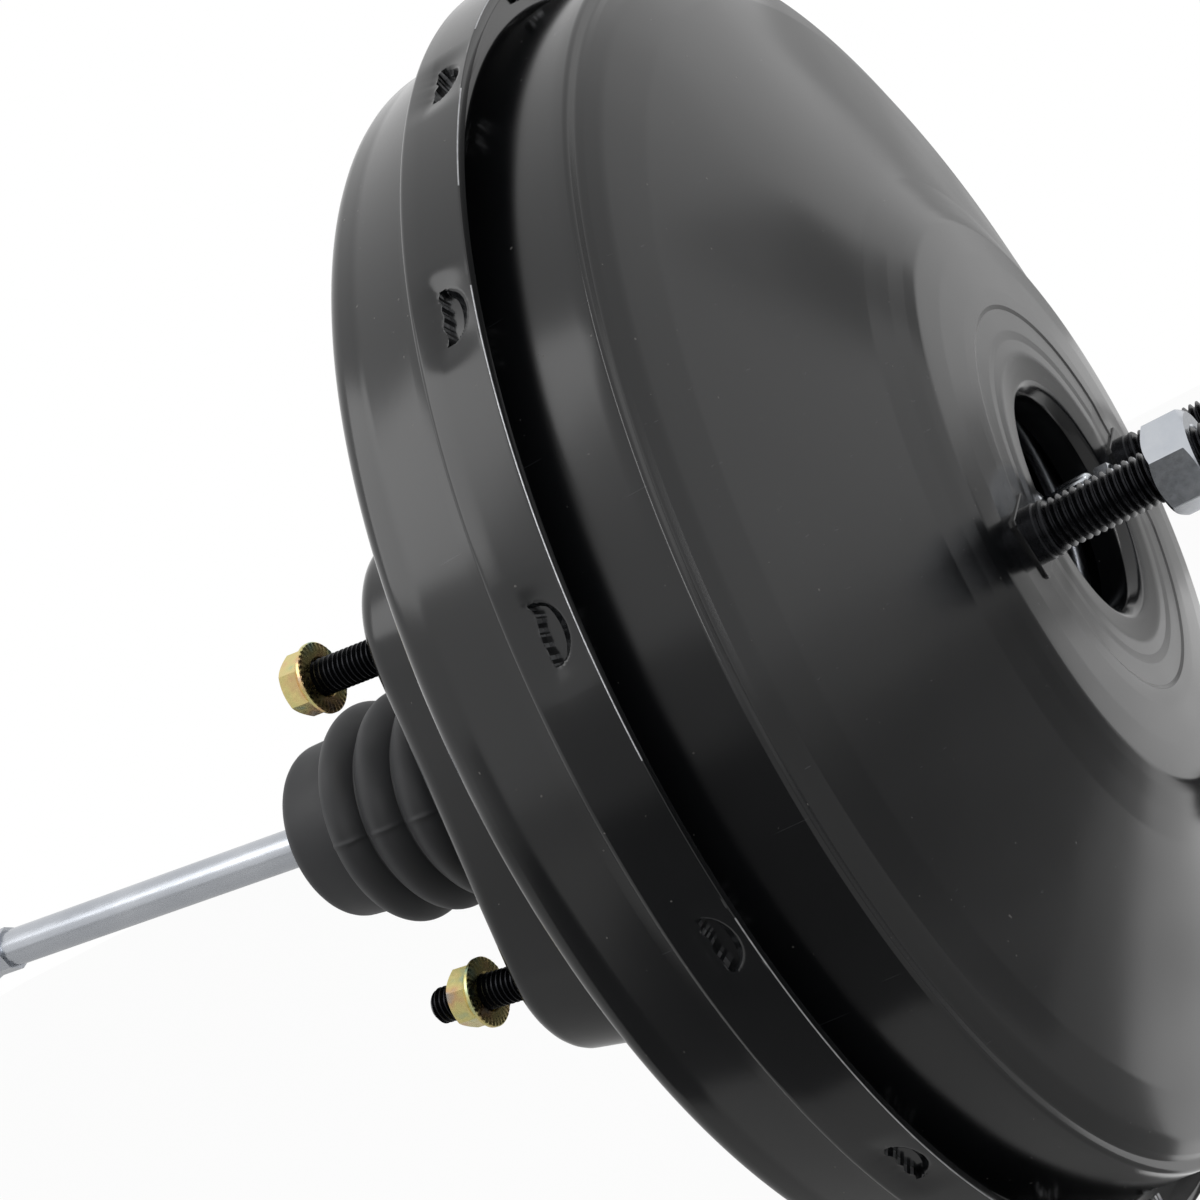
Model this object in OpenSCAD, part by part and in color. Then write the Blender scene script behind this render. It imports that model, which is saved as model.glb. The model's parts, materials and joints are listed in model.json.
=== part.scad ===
// Vacuum brake booster with a lanced and crimped rim, drawn as separate working pieces.
// The booster axis is +X towards the master cylinder, +Z is up, and the origin is the middle of
// the four firewall studs on the inclined mounting pad. All sizes are in millimetres.

/* [Shells] */
// Outside diameter of the rim band at its front edge
rim_d = 280; // [276:1:284]
// Distance from the firewall pad to the front edge of the rim band
rim_x = 99; // [97:0.5:101]
// Width of the rim band along the axis
band_w = 12.7; // [12:0.1:14]
// Extra radius of the rim band at its back ridge
band_flare = 0.6; // [0.2:0.1:1]
// Sheet thickness of the rear shell
rear_t = 1.8; // [1.5:0.1:2]
// Step from the rim band down to the rear shell wall
wall_step = 3.8; // [3.5:0.1:4.2]
// Draft of the rear shell wall between the band and its back corner
wall_draft = 2; // [1.5:0.1:2.5]
// Distance from the band's front edge to the middle of the back corner
rear_corner_back = 28; // [26:0.5:30]
// Radius of the back corner
rear_corner_r = 6; // [5:0.5:7]
// Sheet thickness of the front shell
front_t = 1.6; // [1.4:0.1:1.8]
// Width of the front shell's crimped flange
flange_w = 6.2; // [5.8:0.1:6.6]
// Distance from the band's front edge to the stamped ridge
ridge_ahead = 15.1; // [14:0.1:16]
// Radius of the crease round the raised hub
hub_r = 62; // [60:0.5:64]
// Distance from the firewall pad to the master cylinder face
hub_x = 139; // [138:0.5:140]
// Radius of the hub's bore
hub_bore_r = 23.2; // [22:0.1:24]
// Depth of the flange turned in round the bore
hub_lip = 9; // [8:0.5:10]
// Radius of the shallow step pressed into the hub
hub_step_r = 41; // [40:0.5:42]
// Height of the shallow step
hub_step_h = 0.3; // [0.1:0.1:0.4]

/* [Lanced tabs] */
// Number of tabs round the rim
tab_count = 16; // [12:2:18]
// Angle of the first tab about the axis, from +Y
tab_phase = 124.5; // [120:0.5:130]
// Width of each tab along the rim
tab_w = 9; // [7:0.5:10]
// Length of each tab's window along the axis
tab_len = 4.4; // [3.5:0.1:4.8]

/* [Firewall pad] */
// Angle between the pad and the rim plane
pad_tilt = 6; // [5:0.5:7]
// Width of the pad across
pad_w = 98; // [94:1:100]
// Height of the pad
pad_h = 118; // [114:1:120]
// Radius of the pad's corners
pad_corner_r = 25; // [24:1:26]
// Radius of the pad's rim edge
pad_edge_r = 5; // [4.5:0.5:5.5]
// Spread of the pad's walls at their deep end
pad_flare = 6; // [4:0.5:7]
// Depth to which the pad's walls are drawn before the shell cuts them off
pad_depth = 64; // [60:1:66]
// Spacing of the firewall studs both ways
stud_pitch = 75; // [74:0.5:76]

/* [Studs and nuts] */
// Outside diameter of a firewall stud
stud_d = 8; // [8:0.1:8]
// Radius of a firewall stud inside its nut, at the middle of the thread's depth
stud_core_r = 3.594; // [3.5:0.01:3.6]
// Outside diameter of a master cylinder stud
front_stud_d = 10; // [10:0.1:10]
// Radius of a master cylinder stud inside its nut, at the middle of the thread's depth
front_core_r = 4.513; // [4.4:0.01:4.52]
// Length of a firewall stud outside the pad
rear_stud_len = 28.5; // [27:0.5:30]
// Distance of the upper and far nuts from the pad
rear_nut_out = 17.5; // [16:0.5:18.5]
// Distance of the lower nut from the pad
rear_nut_low = 11.5; // [10:0.5:13]
// Spacing of the two master cylinder studs
front_pitch = 82.4; // [80:0.1:84]
// Length of a master cylinder stud outside the hub
front_stud_len = 36.5; // [35:0.5:38]
// Distance of the master cylinder nuts from the hub
front_nut_out = 25; // [24:0.1:26]
// Side of the square collar at the root of a master cylinder stud
collar_side = 13; // [12:0.1:14]
// Thickness of the square collar
collar_t = 1.4; // [1:0.1:2]
// Radius of the plain root above the collar
root_r = 5.5; // [5.2:0.1:5.8]
// Length of the plain root above the collar
root_len = 2.6; // [2:0.1:4]
// Width of a master cylinder nut across its flats
nut_af = 16; // [15.8:0.1:16]
// Height of a master cylinder nut
nut_h = 8.4; // [8:0.1:8.4]
// Width of a flange nut across its flats
flange_nut_af = 12; // [11.6:0.1:12.2]
// Height of a flange nut
flange_nut_h = 7; // [6.6:0.1:7.4]
// Outside diameter of a flange nut's flange
nut_flange_d = 15.6; // [15:0.1:16.4]
// Height of the flange nut's cone
nut_flange_h = 2.4; // [2:0.1:2.6]

/* [Power piston] */
// Distance from the pad to the ball inside the air valve
ball_x = 12; // [12:0.1:12]
// Travel of the power piston
stroke = 30; // [28:1:30]
// Outer radius of the valve body's tube
tube_r = 17; // [16.8:0.1:17.2]
// Radius of the chamber inside the tube
chamber_r = 13.4; // [13.2:0.1:13.5]
// Distance of the tube's open end behind the pad
tube_back = 23; // [22:0.5:23]
// Radius of the valve body's flange
valve_flange_r = 38; // [36:0.5:40]
// Distance of the flange from the pad
valve_flange_x = 58; // [57:0.5:59]
// Thickness of the flange
valve_flange_t = 5; // [4:0.5:6]
// Length of the boss ahead of the flange
boss_len = 13; // [12:0.5:14]
// Radius of the boss
boss_r = 19; // [18:0.5:20]
// Radius of the reaction disc's bore
disc_bore_r = 12; // [11:0.1:12.5]
// Thickness of the reaction disc
disc_t = 4; // [3:0.5:5]
// Radius of the bore that guides the air valve
guide_r = 7; // [6.8:0.1:7.2]
// Thickness of the diaphragm plate
plate_t = 1.5; // [1.2:0.1:1.8]
// Room between the diaphragm plate and the rear shell wall
plate_room = 17.2; // [16:0.2:19]
// Thickness of the diaphragm
diaphragm_t = 1.9; // [1.5:0.1:2]
// Thickness of the stop key
key_t = 3; // [2.5:0.1:3]
// Width of the stop key
key_w = 12; // [10:0.5:12.5]
// Height of the stop key
key_h = 56; // [54:0.5:58]

/* [Springs] */
// Wire diameter of the main return spring
main_wire = 3.6; // [3:0.1:4]
// Radius of the main return spring at the power piston
main_r0 = 31; // [30:0.5:32]
// Radius of the main return spring at the front shell
main_r1 = 29; // [28.5:0.5:30]
// Coils of the main return spring
main_turns = 6.5; // [5:0.5:7]
// Wire diameter of the input rod's return spring
rod_wire = 1.4; // [1.2:0.1:1.6]
// Wire diameter of the control valve's spring
poppet_wire = 1; // [0.8:0.1:1]

/* [Output rod] */
// Radius of the output rod's shank
out_r = 5.5; // [5:0.1:6]
// Radius of the knurled end
knurl_r = 4.1; // [4:0.1:4.7]
// Distance of the knurled end's front face beyond the hub
knurl_ahead = 2.8; // [2:0.1:4]
// Length of the knurled end
knurl_len = 7.6; // [6:0.1:8]
// Width across flats of the adjusting screw's hexagon
screw_af = 7; // [6:0.1:8]
// Radius of the adjusting screw's threaded tip
screw_r = 2.5; // [2.5:0.1:2.5]
// Distance of the screw's tip beyond the hub
screw_ahead = 18; // [16:0.5:20]

/* [Input rod and boot] */
// Radius of the input rod
rod_r = 4.75; // [4.5:0.05:5]
// Radius of the rod's ball
rod_ball_r = 5; // [4.8:0.1:5.2]
// Distance from the ball to the start of the forged end
rod_plain_len = 172; // [165:1:175]
// Distance from the ball to the eye
eye_reach = 202; // [198:1:206]
// Radius of the eye's bore
eye_bore_r = 6.5; // [6:0.1:7]
// Outer radius of the eye
eye_r = 13; // [12:0.5:14]
// Thickness of the eye
eye_t = 8; // [7:0.5:9]
// Radius of the boot's crests
boot_crest_r = 26.5; // [26:0.1:27]
// Radius of the boot's valleys
boot_valley_r = 22.6; // [22.4:0.1:23]
// Pitch of the boot's convolutions
boot_pitch = 9.8; // [9.4:0.1:9.8]
// Number of convolutions
boot_waves = 4; // [4:1:4]
// Radius of the boot's nose
boot_nose_r = 20.8; // [20:0.1:21.5]
// Length of the boot from the pad to the end of its nose
boot_len = 58; // [57:0.5:60]
// Wall thickness of the boot
boot_t = 1.6; // [1.4:0.1:1.7]

/* [Check valve] */
// Distance of the check valve from the booster axis
port_r = 95; // [93:0.5:97]
// Angle of the check valve about the axis, from +Y
port_angle = -60; // [-65:1:-55]
// Radius of the flat boss pressed for the valve
port_boss_r = 16; // [15:0.5:17]
// Radius of the hole for the grommet
port_hole_r = 9; // [8.5:0.1:9.5]
// Radius of the valve's stem inside the grommet
stem_r = 6.5; // [6:0.1:7]
// Radius of the hose nozzle
nozzle_r = 4.8; // [4.5:0.1:5]
// Radius of the passage through the nozzle
nozzle_bore_r = 3; // [2.5:0.1:3.2]
// Length of the hose nozzle
nozzle_len = 14; // [12:0.5:16]

/* [Clearances] */
// Running clearance on the radius between a sliding piece and its guide
run_gap = 0.05; // [0.02:0.01:0.08]
// Gap between pieces that rest together
seat_gap = 0.05; // [0.02:0.01:0.1]
// Gap between pieces that pass without touching
pass_gap = 0.4; // [0.3:0.1:0.6]

/* [Hidden] */
round_fn = 96;
edge_fn = 32;
hex_fn = 6;
rim_r = rim_d / 2;
rear_wall_r = rim_r - wall_step;
rear_back_r = rear_wall_r - wall_draft;
flange_r = rim_r - rear_t;
front_wall_r = flange_r - flange_w;
plate_r = rear_wall_r - plate_room;
stud_r = stud_d / 2;
nut_bore_r = stud_core_r + seat_gap;
front_stud_r = front_stud_d / 2;
front_nut_bore_r = front_core_r + seat_gap;
half_pad = stud_pitch / 2;
band_back_x = rim_x - band_w;
band_round = 1.2;
foot_round = 1.5;
bead_x = band_back_x + rear_t;
flange_x = bead_x + 3;
neck_r = 23;
neck_bore_r = 21.4;
neck_front_x = 18.35;
neck_back = 3;
// Overshoot of a cutting shape beyond the face that it opens
over = 1;
// Radii of the holes in the shells for the plain shanks of the studs
pad_hole_r = 4.65;
shank_r = pad_hole_r - seat_gap;
hub_hole_r = 5.65;
front_shank_r = hub_hole_r - seat_gap;
backing_t = 2.5;
key_x = neck_front_x + 0.25;
// End coils of a spring that lie flat, in turns
flat_turns = 0.8;

// One ring of points on an arc
function arc(c, r, a0, a1, n) =
    [for (i = [0:n]) [c[0] + r * cos(a0 + (a1 - a0) * i / n), c[1] + r * sin(a0 + (a1 - a0) * i / n)]];
// Left normal of a segment
function left(a, b) = let (d = b - a, l = norm(d)) [-d[1] / l, d[0] / l];
// Point of a path moved sideways so that the sheet keeps its thickness round a bend
function beside(p, i, t) =
    let (n = len(p), n1 = left(p[max(i - 1, 0)], p[max(i, 1)]), n2 = left(p[min(i, n - 2)],
        p[min(i + 1, n - 1)]))
    p[i] + (n1 + n2) * t / (1 + n1 * n2);
// The same path moved sideways by one thickness
function offset_path(p, t) = [for (i = [0:len(p) - 1]) beside(p, i, t)];
// Points of a path in the opposite order
function backwards(p) = [for (i = [len(p) - 1:-1:0]) p[i]];
// Closed outline of a sheet that follows a path
function sheet(p, t) = concat(p, backwards(offset_path(p, t)));

// Turns an outline of axial and radial positions about the booster axis
module turned(p) {
    rotate([0, 90, 0])
        rotate_extrude($fn = round_fn)
            polygon([for (q = p) [q[1], q[0]]]);
}

// Round bar along the axis
module bar(x0, x1, r, fn = round_fn) {
    translate([x0, 0, 0])
        rotate([0, 90, 0])
            cylinder(h = x1 - x0, r = r, $fn = fn);
}

// Tube along the axis
module ring(x0, x1, r, bore) {
    turned([[x0, bore], [x0, r], [x1, r], [x1, bore]]);
}

// Hexagon bar along the axis, with the flats turned by an angle
module hexagon(x0, x1, af, turn) {
    translate([x0, 0, 0])
        rotate([turn, 0, 0])
            rotate([0, 90, 0])
                cylinder(h = x1 - x0, r = af / sqrt(3), $fn = hex_fn);
}

// Places its children in the frame of the inclined pad, where +X still points to the front
module on_pad() {
    rotate([0, pad_tilt, 0])
        children();
}

// Places its children along the input rod, which leans with the pad about its own ball
module on_rod() {
    translate([ball_x, 0, 0])
        rotate([0, pad_tilt, 0])
            children();
}

// Repeats its children at the four firewall studs
module at_firewall_studs() {
    for (y = [-half_pad, half_pad], z = [-half_pad, half_pad])
        translate([0, y, z])
            children();
}

// Repeats its children at the two master cylinder studs
module at_cylinder_studs() {
    for (y = [-front_pitch / 2, front_pitch / 2])
        translate([hub_x, y, 0])
            children();
}

// Places its children at the check valve
module at_port() {
    rotate([port_angle, 0, 0])
        translate([0, port_r, 0])
            children();
}

// Wire of round section wound about the axis, with flat end coils, leaning sideways at its far end
module coil(x0, x1, r0, r1, wire, turns, steps, sides, lean0, lean1) {
    n = turns * steps;
    rise = turns - 2 * flat_turns;
    points = [for (i = [0:n], k = [0:sides - 1])
        let (u = i / steps, s = min(max((u - flat_turns) / rise, 0), 1), a = 360 * u, b = 360 * k / sides,
            rr = r0 + (r1 - r0) * s + wire / 2 * cos(b))
        [x0 + (x1 - x0) * s + wire / 2 * sin(b), rr * cos(a), rr * sin(a) + lean0 + (lean1 - lean0) * s]];
    walls = [for (i = [0:n - 1], k = [0:sides - 1])
        let (a = i * sides + k, b = i * sides + (k + 1) % sides)
        [a, b, b + sides, a + sides]];
    cap0 = [for (k = [sides - 1:-1:0]) k];
    cap1 = [for (k = [0:sides - 1]) n * sides + k];
    polyhedron(points, concat([cap0], walls, [cap1]), convexity = 10);
}

// Outline of the rear shell's outside, from the rim band back to the middle
rear_corner_x = rim_x - rear_corner_back;
back_slope = 17;
rear_middle_r = 60;
rear_corner_y = rear_back_r - rear_corner_r;
corner_end = [rear_corner_x - rear_corner_r * cos(back_slope),
    rear_corner_y + rear_corner_r * sin(back_slope)];
bead_inset = [22.2, 30.2];
bead_r0 = rear_back_r - bead_inset[0];
bead_r1 = rear_back_r - bead_inset[1];
bead_h = 1.6;
bead_ramp = 4;
function back_x(r) = corner_end[0] - (corner_end[1] - r) * tan(back_slope);
rear_path = concat(
    [[rim_x, rim_r]],
    arc([band_back_x + band_round, rim_r + band_flare - band_round], band_round, 90, 180, 4),
    arc([band_back_x - foot_round, rear_wall_r + foot_round], foot_round, 0, -90, 4),
    arc([rear_corner_x, rear_corner_y], rear_corner_r, 90, 180 - back_slope, 6),
    [[back_x(bead_r0 + bead_ramp), bead_r0 + bead_ramp], [back_x(bead_r0) - bead_h, bead_r0],
        [back_x(bead_r1) - bead_h, bead_r1], [back_x(bead_r1 - bead_ramp), bead_r1 - bead_ramp],
        [back_x(rear_middle_r), rear_middle_r]]);
rear_inner = offset_path(rear_path, rear_t);

// Rounded rectangle of the pad, with its corner and its size reduced by an inset
slice_t = 0.01;
pad_edge_steps = 4;
module pad_slice(inset, depth) {
    r = pad_corner_r - inset;
    w = pad_w / 2 - inset - r;
    h = pad_h / 2 - inset - r;
    translate([depth, 0, 0])
        rotate([0, 90, 0])
            linear_extrude(height = slice_t)
                for (y = [-w, w], z = [-h, h])
                    translate([z, y])
                        circle(r = r, $fn = edge_fn);
}

// Solid block of the pad with a round edge and spreading walls
module pad_block(inset, start, deep) {
    edge = pad_edge_r - inset;
    on_pad()
        hull() {
            for (i = [0:pad_edge_steps])
                let (a = 90 * i / pad_edge_steps)
                    pad_slice(inset + edge * (1 - sin(a)), start + edge * (1 - cos(a)));
            pad_slice(inset - pad_flare, deep);
        }
}

// One window of a lanced tab, cut through the band
tab_x = rim_x - 4.6;
tab_tip_off = 1.9;
tab_tip_r = front_wall_r + tab_tip_off;
tab_t = 1.4;
window_half_depth = 4;
module tab_window() {
    translate([tab_x - tab_len / 2, rim_r - window_half_depth, -tab_w / 2])
        cube([tab_len, 2 * window_half_depth, tab_w]);
}

// One tongue bent in from the front edge of its window until it bears on the front shell's flange
tongue_root_x = tab_x + tab_len / 2;
tongue_overlap = 0.4;
tongue_sink = 0.3;
tongue_end_x = flange_x + front_t;
module tab_tongue() {
    translate([0, 0, -tab_w / 2 + pass_gap / 2])
        linear_extrude(height = tab_w - pass_gap)
            polygon([[tongue_root_x + tongue_overlap, rim_r - tongue_sink - tab_t],
                [tongue_root_x + tongue_overlap, rim_r - tongue_sink],
                [tongue_root_x - tab_t, rim_r - tongue_sink],
                [tongue_end_x + seat_gap, tab_tip_r + tab_t], [tongue_end_x + seat_gap, tab_tip_r],
                [tongue_end_x + tab_t, tab_tip_r]]);
}

module rear_shell() {
    color([0.03, 0.03, 0.035])
        union() {
            difference() {
                union() {
                    turned(concat([[rim_x, 0]], rear_path, [[back_x(rear_middle_r), 0]]));
                    pad_block(0, 0, pad_depth);
                }
                turned(concat([[rim_x + over, 0], [rim_x + over, rear_inner[0][1]]], rear_inner,
                    [[rear_inner[len(rear_inner) - 1][0], 0]]));
                pad_block(rear_t, rear_t, pad_depth + over);
                bar(-neck_back - over, neck_front_x + over, neck_bore_r);
                on_pad()
                    at_firewall_studs()
                        bar(-over, rear_t + over, pad_hole_r, edge_fn);
                for (i = [0:tab_count - 1])
                    rotate([tab_phase + 360 * i / tab_count, 0, 0])
                        tab_window();
            }
            ring(-neck_back, neck_front_x, neck_r, neck_bore_r);
            for (i = [0:tab_count - 1])
                rotate([tab_phase + 360 * i / tab_count, 0, 0])
                    tab_tongue();
        }
}

// Outline of the front shell's outside, from the flange over the ridge and the hub into the bore
ridge_x = rim_x + ridge_ahead;
ridge_drop = 1;
ridge_r = front_wall_r - ridge_drop;
ridge_round = 1.6;
ridge_arc = [88, 20];
flange_round = 1.5;
crease_round = 0.8;
lip_round = 3;
// Points ahead of the ridge, as distances ahead of it and below it
ridge_steps = [[0.1, 2.4], [0.9, 2.9], [3.2, 5.4], [6.3, 13.6]];
// Points on the hollow run up to the crease, as distances behind the hub and outside the crease
run_up = [[7.6, 17], [5.9, 10.5], [4.4, 6], [2.6, 2.6], [1.3, 0.8]];
// Half the width of the slope between the two levels of the hub
hub_step_half = 0.5;
front_path = concat(
    [[flange_x + front_t, flange_r]],
    arc([flange_x + front_t + flange_round, front_wall_r + flange_round], flange_round, 180, 270, 3),
    arc([ridge_x - ridge_round, ridge_r - ridge_round], ridge_round, ridge_arc[0], ridge_arc[1], 4),
    [for (q = ridge_steps) [ridge_x + q[0], ridge_r - q[1]]],
    [for (q = run_up) [hub_x - q[0], hub_r + q[1]]],
    arc([hub_x - crease_round, hub_r - crease_round], crease_round, 60, 0, 3),
    [[hub_x, hub_step_r + hub_step_half], [hub_x - hub_step_h, hub_step_r - hub_step_half]],
    arc([hub_x - hub_step_h - lip_round, hub_bore_r + lip_round], lip_round, 0, -90, 4),
    [[hub_x - hub_lip, hub_bore_r]]);
front_inner = offset_path(front_path, -front_t);
port_face_x = 134.6;
port_boss_deep = 24;

module front_shell() {
    color([0.03, 0.03, 0.035])
        difference() {
            union() {
                turned(concat(front_path, [[flange_x, hub_bore_r], [flange_x, flange_r]]));
                at_port()
                    bar(port_face_x - port_boss_deep, port_face_x, port_boss_r);
            }
            turned(concat(front_inner, [[hub_x - hub_lip, hub_bore_r - over],
                [flange_x - over, hub_bore_r - over],
                [flange_x - over, flange_r]]));
            at_port() {
                bar(port_face_x - port_boss_deep - over, port_face_x - front_t, port_boss_r - front_t);
                bar(port_face_x - front_t - over, port_face_x + over, port_hole_r);
            }
            at_cylinder_studs()
                bar(-front_t - hub_step_h - over, over, hub_hole_r, edge_fn);
        }
}

// Steel plate behind the pad that carries the heads of the firewall studs
pad_plate_inset = pad_edge_r + 0.3;
module pad_backing_plate() {
    r = pad_corner_r - pad_plate_inset;
    w = pad_w / 2 - pad_plate_inset;
    h = pad_h / 2 - pad_plate_inset;
    color([0.05, 0.05, 0.055])
        difference() {
            on_pad()
                translate([rear_t + seat_gap, 0, 0])
                    rotate([0, 90, 0])
                        linear_extrude(height = backing_t)
                            union() {
                                square([2 * h, 2 * (w - r)], center = true);
                                square([2 * (h - r), 2 * w], center = true);
                                for (y = [r - w, w - r], z = [r - h, h - r])
                                    translate([z, y])
                                        circle(r = r, $fn = edge_fn);
                            }
            bar(-neck_back, neck_front_x, neck_r + pass_gap);
            on_pad()
                at_firewall_studs()
                    bar(0, rear_t + backing_t + over, pad_hole_r, edge_fn);
        }
}

// Steel ring behind the hub that carries the heads of the master cylinder studs
hub_plate_r0 = 34.5;
hub_plate_r1 = 50;
hub_plate_x = hub_x - front_t - hub_step_h - seat_gap;
module hub_backing_plate() {
    color([0.05, 0.05, 0.055])
        difference() {
            ring(hub_plate_x - backing_t, hub_plate_x, hub_plate_r1, hub_plate_r0);
            at_cylinder_studs()
                bar(hub_plate_x - hub_x - backing_t - over, 0, hub_hole_r, edge_fn);
        }
}

// One firewall stud: head inside, shank through the pad, thread outside up to its nut, then the
// thread at its mean depth through the nut to a tapered end
head_r = 8;
head_t = 2.4;
taper_len = 1.2;
module firewall_stud(nut_at) {
    bar(rear_t + backing_t + 2 * seat_gap, rear_t + backing_t + 2 * seat_gap + head_t, head_r);
    bar(0, rear_t + backing_t + 2 * seat_gap, shank_r);
    bar(-nut_at, 0, stud_r);
    bar(-rear_stud_len + taper_len, -nut_at, stud_core_r);
    turned([[-rear_stud_len, 0], [-rear_stud_len, stud_core_r - taper_len / 2],
        [-rear_stud_len + taper_len, stud_core_r], [-rear_stud_len + taper_len, 0]]);
}

// Distance of the nut from the pad on the stud at one corner
function nut_place(y, z) = y < 0 && z < 0 ? rear_nut_low : rear_nut_out;

module firewall_studs() {
    color([0.06, 0.06, 0.065])
        on_pad()
            for (y = [-1, 1], z = [-1, 1])
                translate([0, y * half_pad, z * half_pad])
                    firewall_stud(nut_place(y, z));
}

// One flange nut with its flange facing the pad
nut_chamfer = 0.7;
flange_nut_top_r = flange_nut_af / 2 - nut_chamfer / 4;
flange_nut_corner_r = flange_nut_af / sqrt(3) + 0.01;
nut_rim_t = 1;
bore_chamfer = 0.5;
module flange_nut() {
    top = -flange_nut_h;
    difference() {
        union() {
            turned([[-nut_flange_h, 0], [-nut_flange_h, flange_nut_af / 2], [-nut_rim_t, nut_flange_d / 2],
                [0, nut_flange_d / 2], [0, 0]]);
            intersection() {
                hexagon(top, -nut_rim_t, flange_nut_af, 0);
                turned([[top, 0], [top, flange_nut_top_r], [top + nut_chamfer, flange_nut_corner_r],
                    [0, flange_nut_corner_r], [0, 0]]);
            }
        }
        bar(top - over, over, nut_bore_r);
        turned([[top - over, 0], [top - over, stud_r + over], [top, stud_r],
            [top + bore_chamfer, nut_bore_r],
            [top + bore_chamfer, 0]]);
    }
}

module firewall_nuts() {
    color([0.75, 0.62, 0.3])
        on_pad()
            for (y = [-1, 1], z = [-1, 1])
                translate([-nut_place(y, z) - seat_gap, y * half_pad, z * half_pad])
                    flange_nut();
}

// One master cylinder stud: head inside, square collar and plain root on the hub, thread outside
module cylinder_stud() {
    inside = hub_plate_x - hub_x - backing_t - seat_gap;
    bar(inside - head_t, inside, head_r);
    bar(inside, 0, front_shank_r);
    rotate([45, 0, 0])
        translate([0, -collar_side / 2, -collar_side / 2])
            cube([collar_t, collar_side, collar_side]);
    bar(0, collar_t + root_len, root_r);
    bar(collar_t + root_len, front_nut_out, front_stud_r);
    bar(front_nut_out, front_stud_len - taper_len, front_core_r);
    turned([[front_stud_len - taper_len, 0], [front_stud_len - taper_len, front_core_r],
        [front_stud_len, front_core_r - taper_len / 2], [front_stud_len, 0]]);
}

module cylinder_studs() {
    color([0.05, 0.05, 0.055])
        at_cylinder_studs()
            cylinder_stud();
}

// One plain hexagon nut, chamfered at both ends
nut_top_r = nut_af / 2 - nut_chamfer / 4;
nut_corner_r = nut_af / sqrt(3) + 0.01;
module plain_nut() {
    difference() {
        intersection() {
            hexagon(0, nut_h, nut_af, 30);
            turned([[0, 0], [0, nut_top_r], [nut_chamfer, nut_corner_r], [nut_h - nut_chamfer, nut_corner_r],
                [nut_h, nut_top_r], [nut_h, 0]]);
        }
        bar(-over, nut_h + over, front_nut_bore_r);
        turned([[nut_h - bore_chamfer, 0], [nut_h - bore_chamfer, front_nut_bore_r],
            [nut_h, front_stud_r], [nut_h + over, front_stud_r + over], [nut_h + over, 0]]);
    }
}

module cylinder_nuts() {
    color([0.8, 0.82, 0.85])
        at_cylinder_studs()
            translate([front_nut_out + seat_gap, 0, 0])
                plain_nut();
}

// Outline of the rear face of the diaphragm plate, as distances ahead of its bore and radii
plate_bore_r = 22.1;
plate_back_x = valve_flange_x - seat_gap - plate_t;
plate_rise = 18.6;
plate_rim_x = plate_back_x + plate_rise;
plate_path = [for (q = [[0, plate_bore_r], [0, 45], [3, 50], [3, 68], [7, 75], [9, 90], [13, 97], [16, 110],
    [17.2, plate_r - 2], [plate_rise, plate_r], [25, plate_r + 0.5]]) [plate_back_x + q[0], q[1]]];

module diaphragm_plate() {
    color([0.55, 0.56, 0.58])
        turned(sheet(plate_path, -plate_t));
}

// Outline of the diaphragm's front face, against the plate and then along the shell to the rim bead
rim_inside_r = rear_wall_r - rear_t;
wall_leg_r = rim_inside_r - 3.2;
fold_r = plate_r + 4;
diaphragm_start_r = 28;
groove_r = 22;
bead_bore_r = groove_r + seat_gap;
lip_x = valve_flange_x - 8;
lip_r = 25;
bead_seat_r = rim_r - rear_t - 1.2;
diaphragm_path = concat(
    [[plate_back_x - seat_gap, diaphragm_start_r]],
    [for (i = [1:8]) plate_path[i] - [seat_gap, 0]],
    [[plate_rim_x - 1.4, fold_r], [plate_rim_x, wall_leg_r - 3.4], [plate_rim_x + 2.4, wall_leg_r - 1],
        [bead_x - 6, wall_leg_r], [bead_x - 3, wall_leg_r]]);
module diaphragm() {
    color([0.06, 0.06, 0.06])
        union() {
            turned(sheet(diaphragm_path, diaphragm_t));
            turned([[bead_x - 4, wall_leg_r], [bead_x - 4, wall_leg_r + diaphragm_t],
                [bead_x + seat_gap, wall_leg_r + diaphragm_t], [bead_x + seat_gap, bead_seat_r],
                [flange_x - seat_gap, bead_seat_r], [flange_x - seat_gap, wall_leg_r]]);
            turned([[plate_back_x - seat_gap, bead_bore_r], [plate_back_x - seat_gap, diaphragm_start_r + 1],
                [plate_back_x - seat_gap - diaphragm_t, diaphragm_start_r + 1], [lip_x + seat_gap, lip_r],
                [lip_x + seat_gap, bead_bore_r]]);
        }
}

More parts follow.
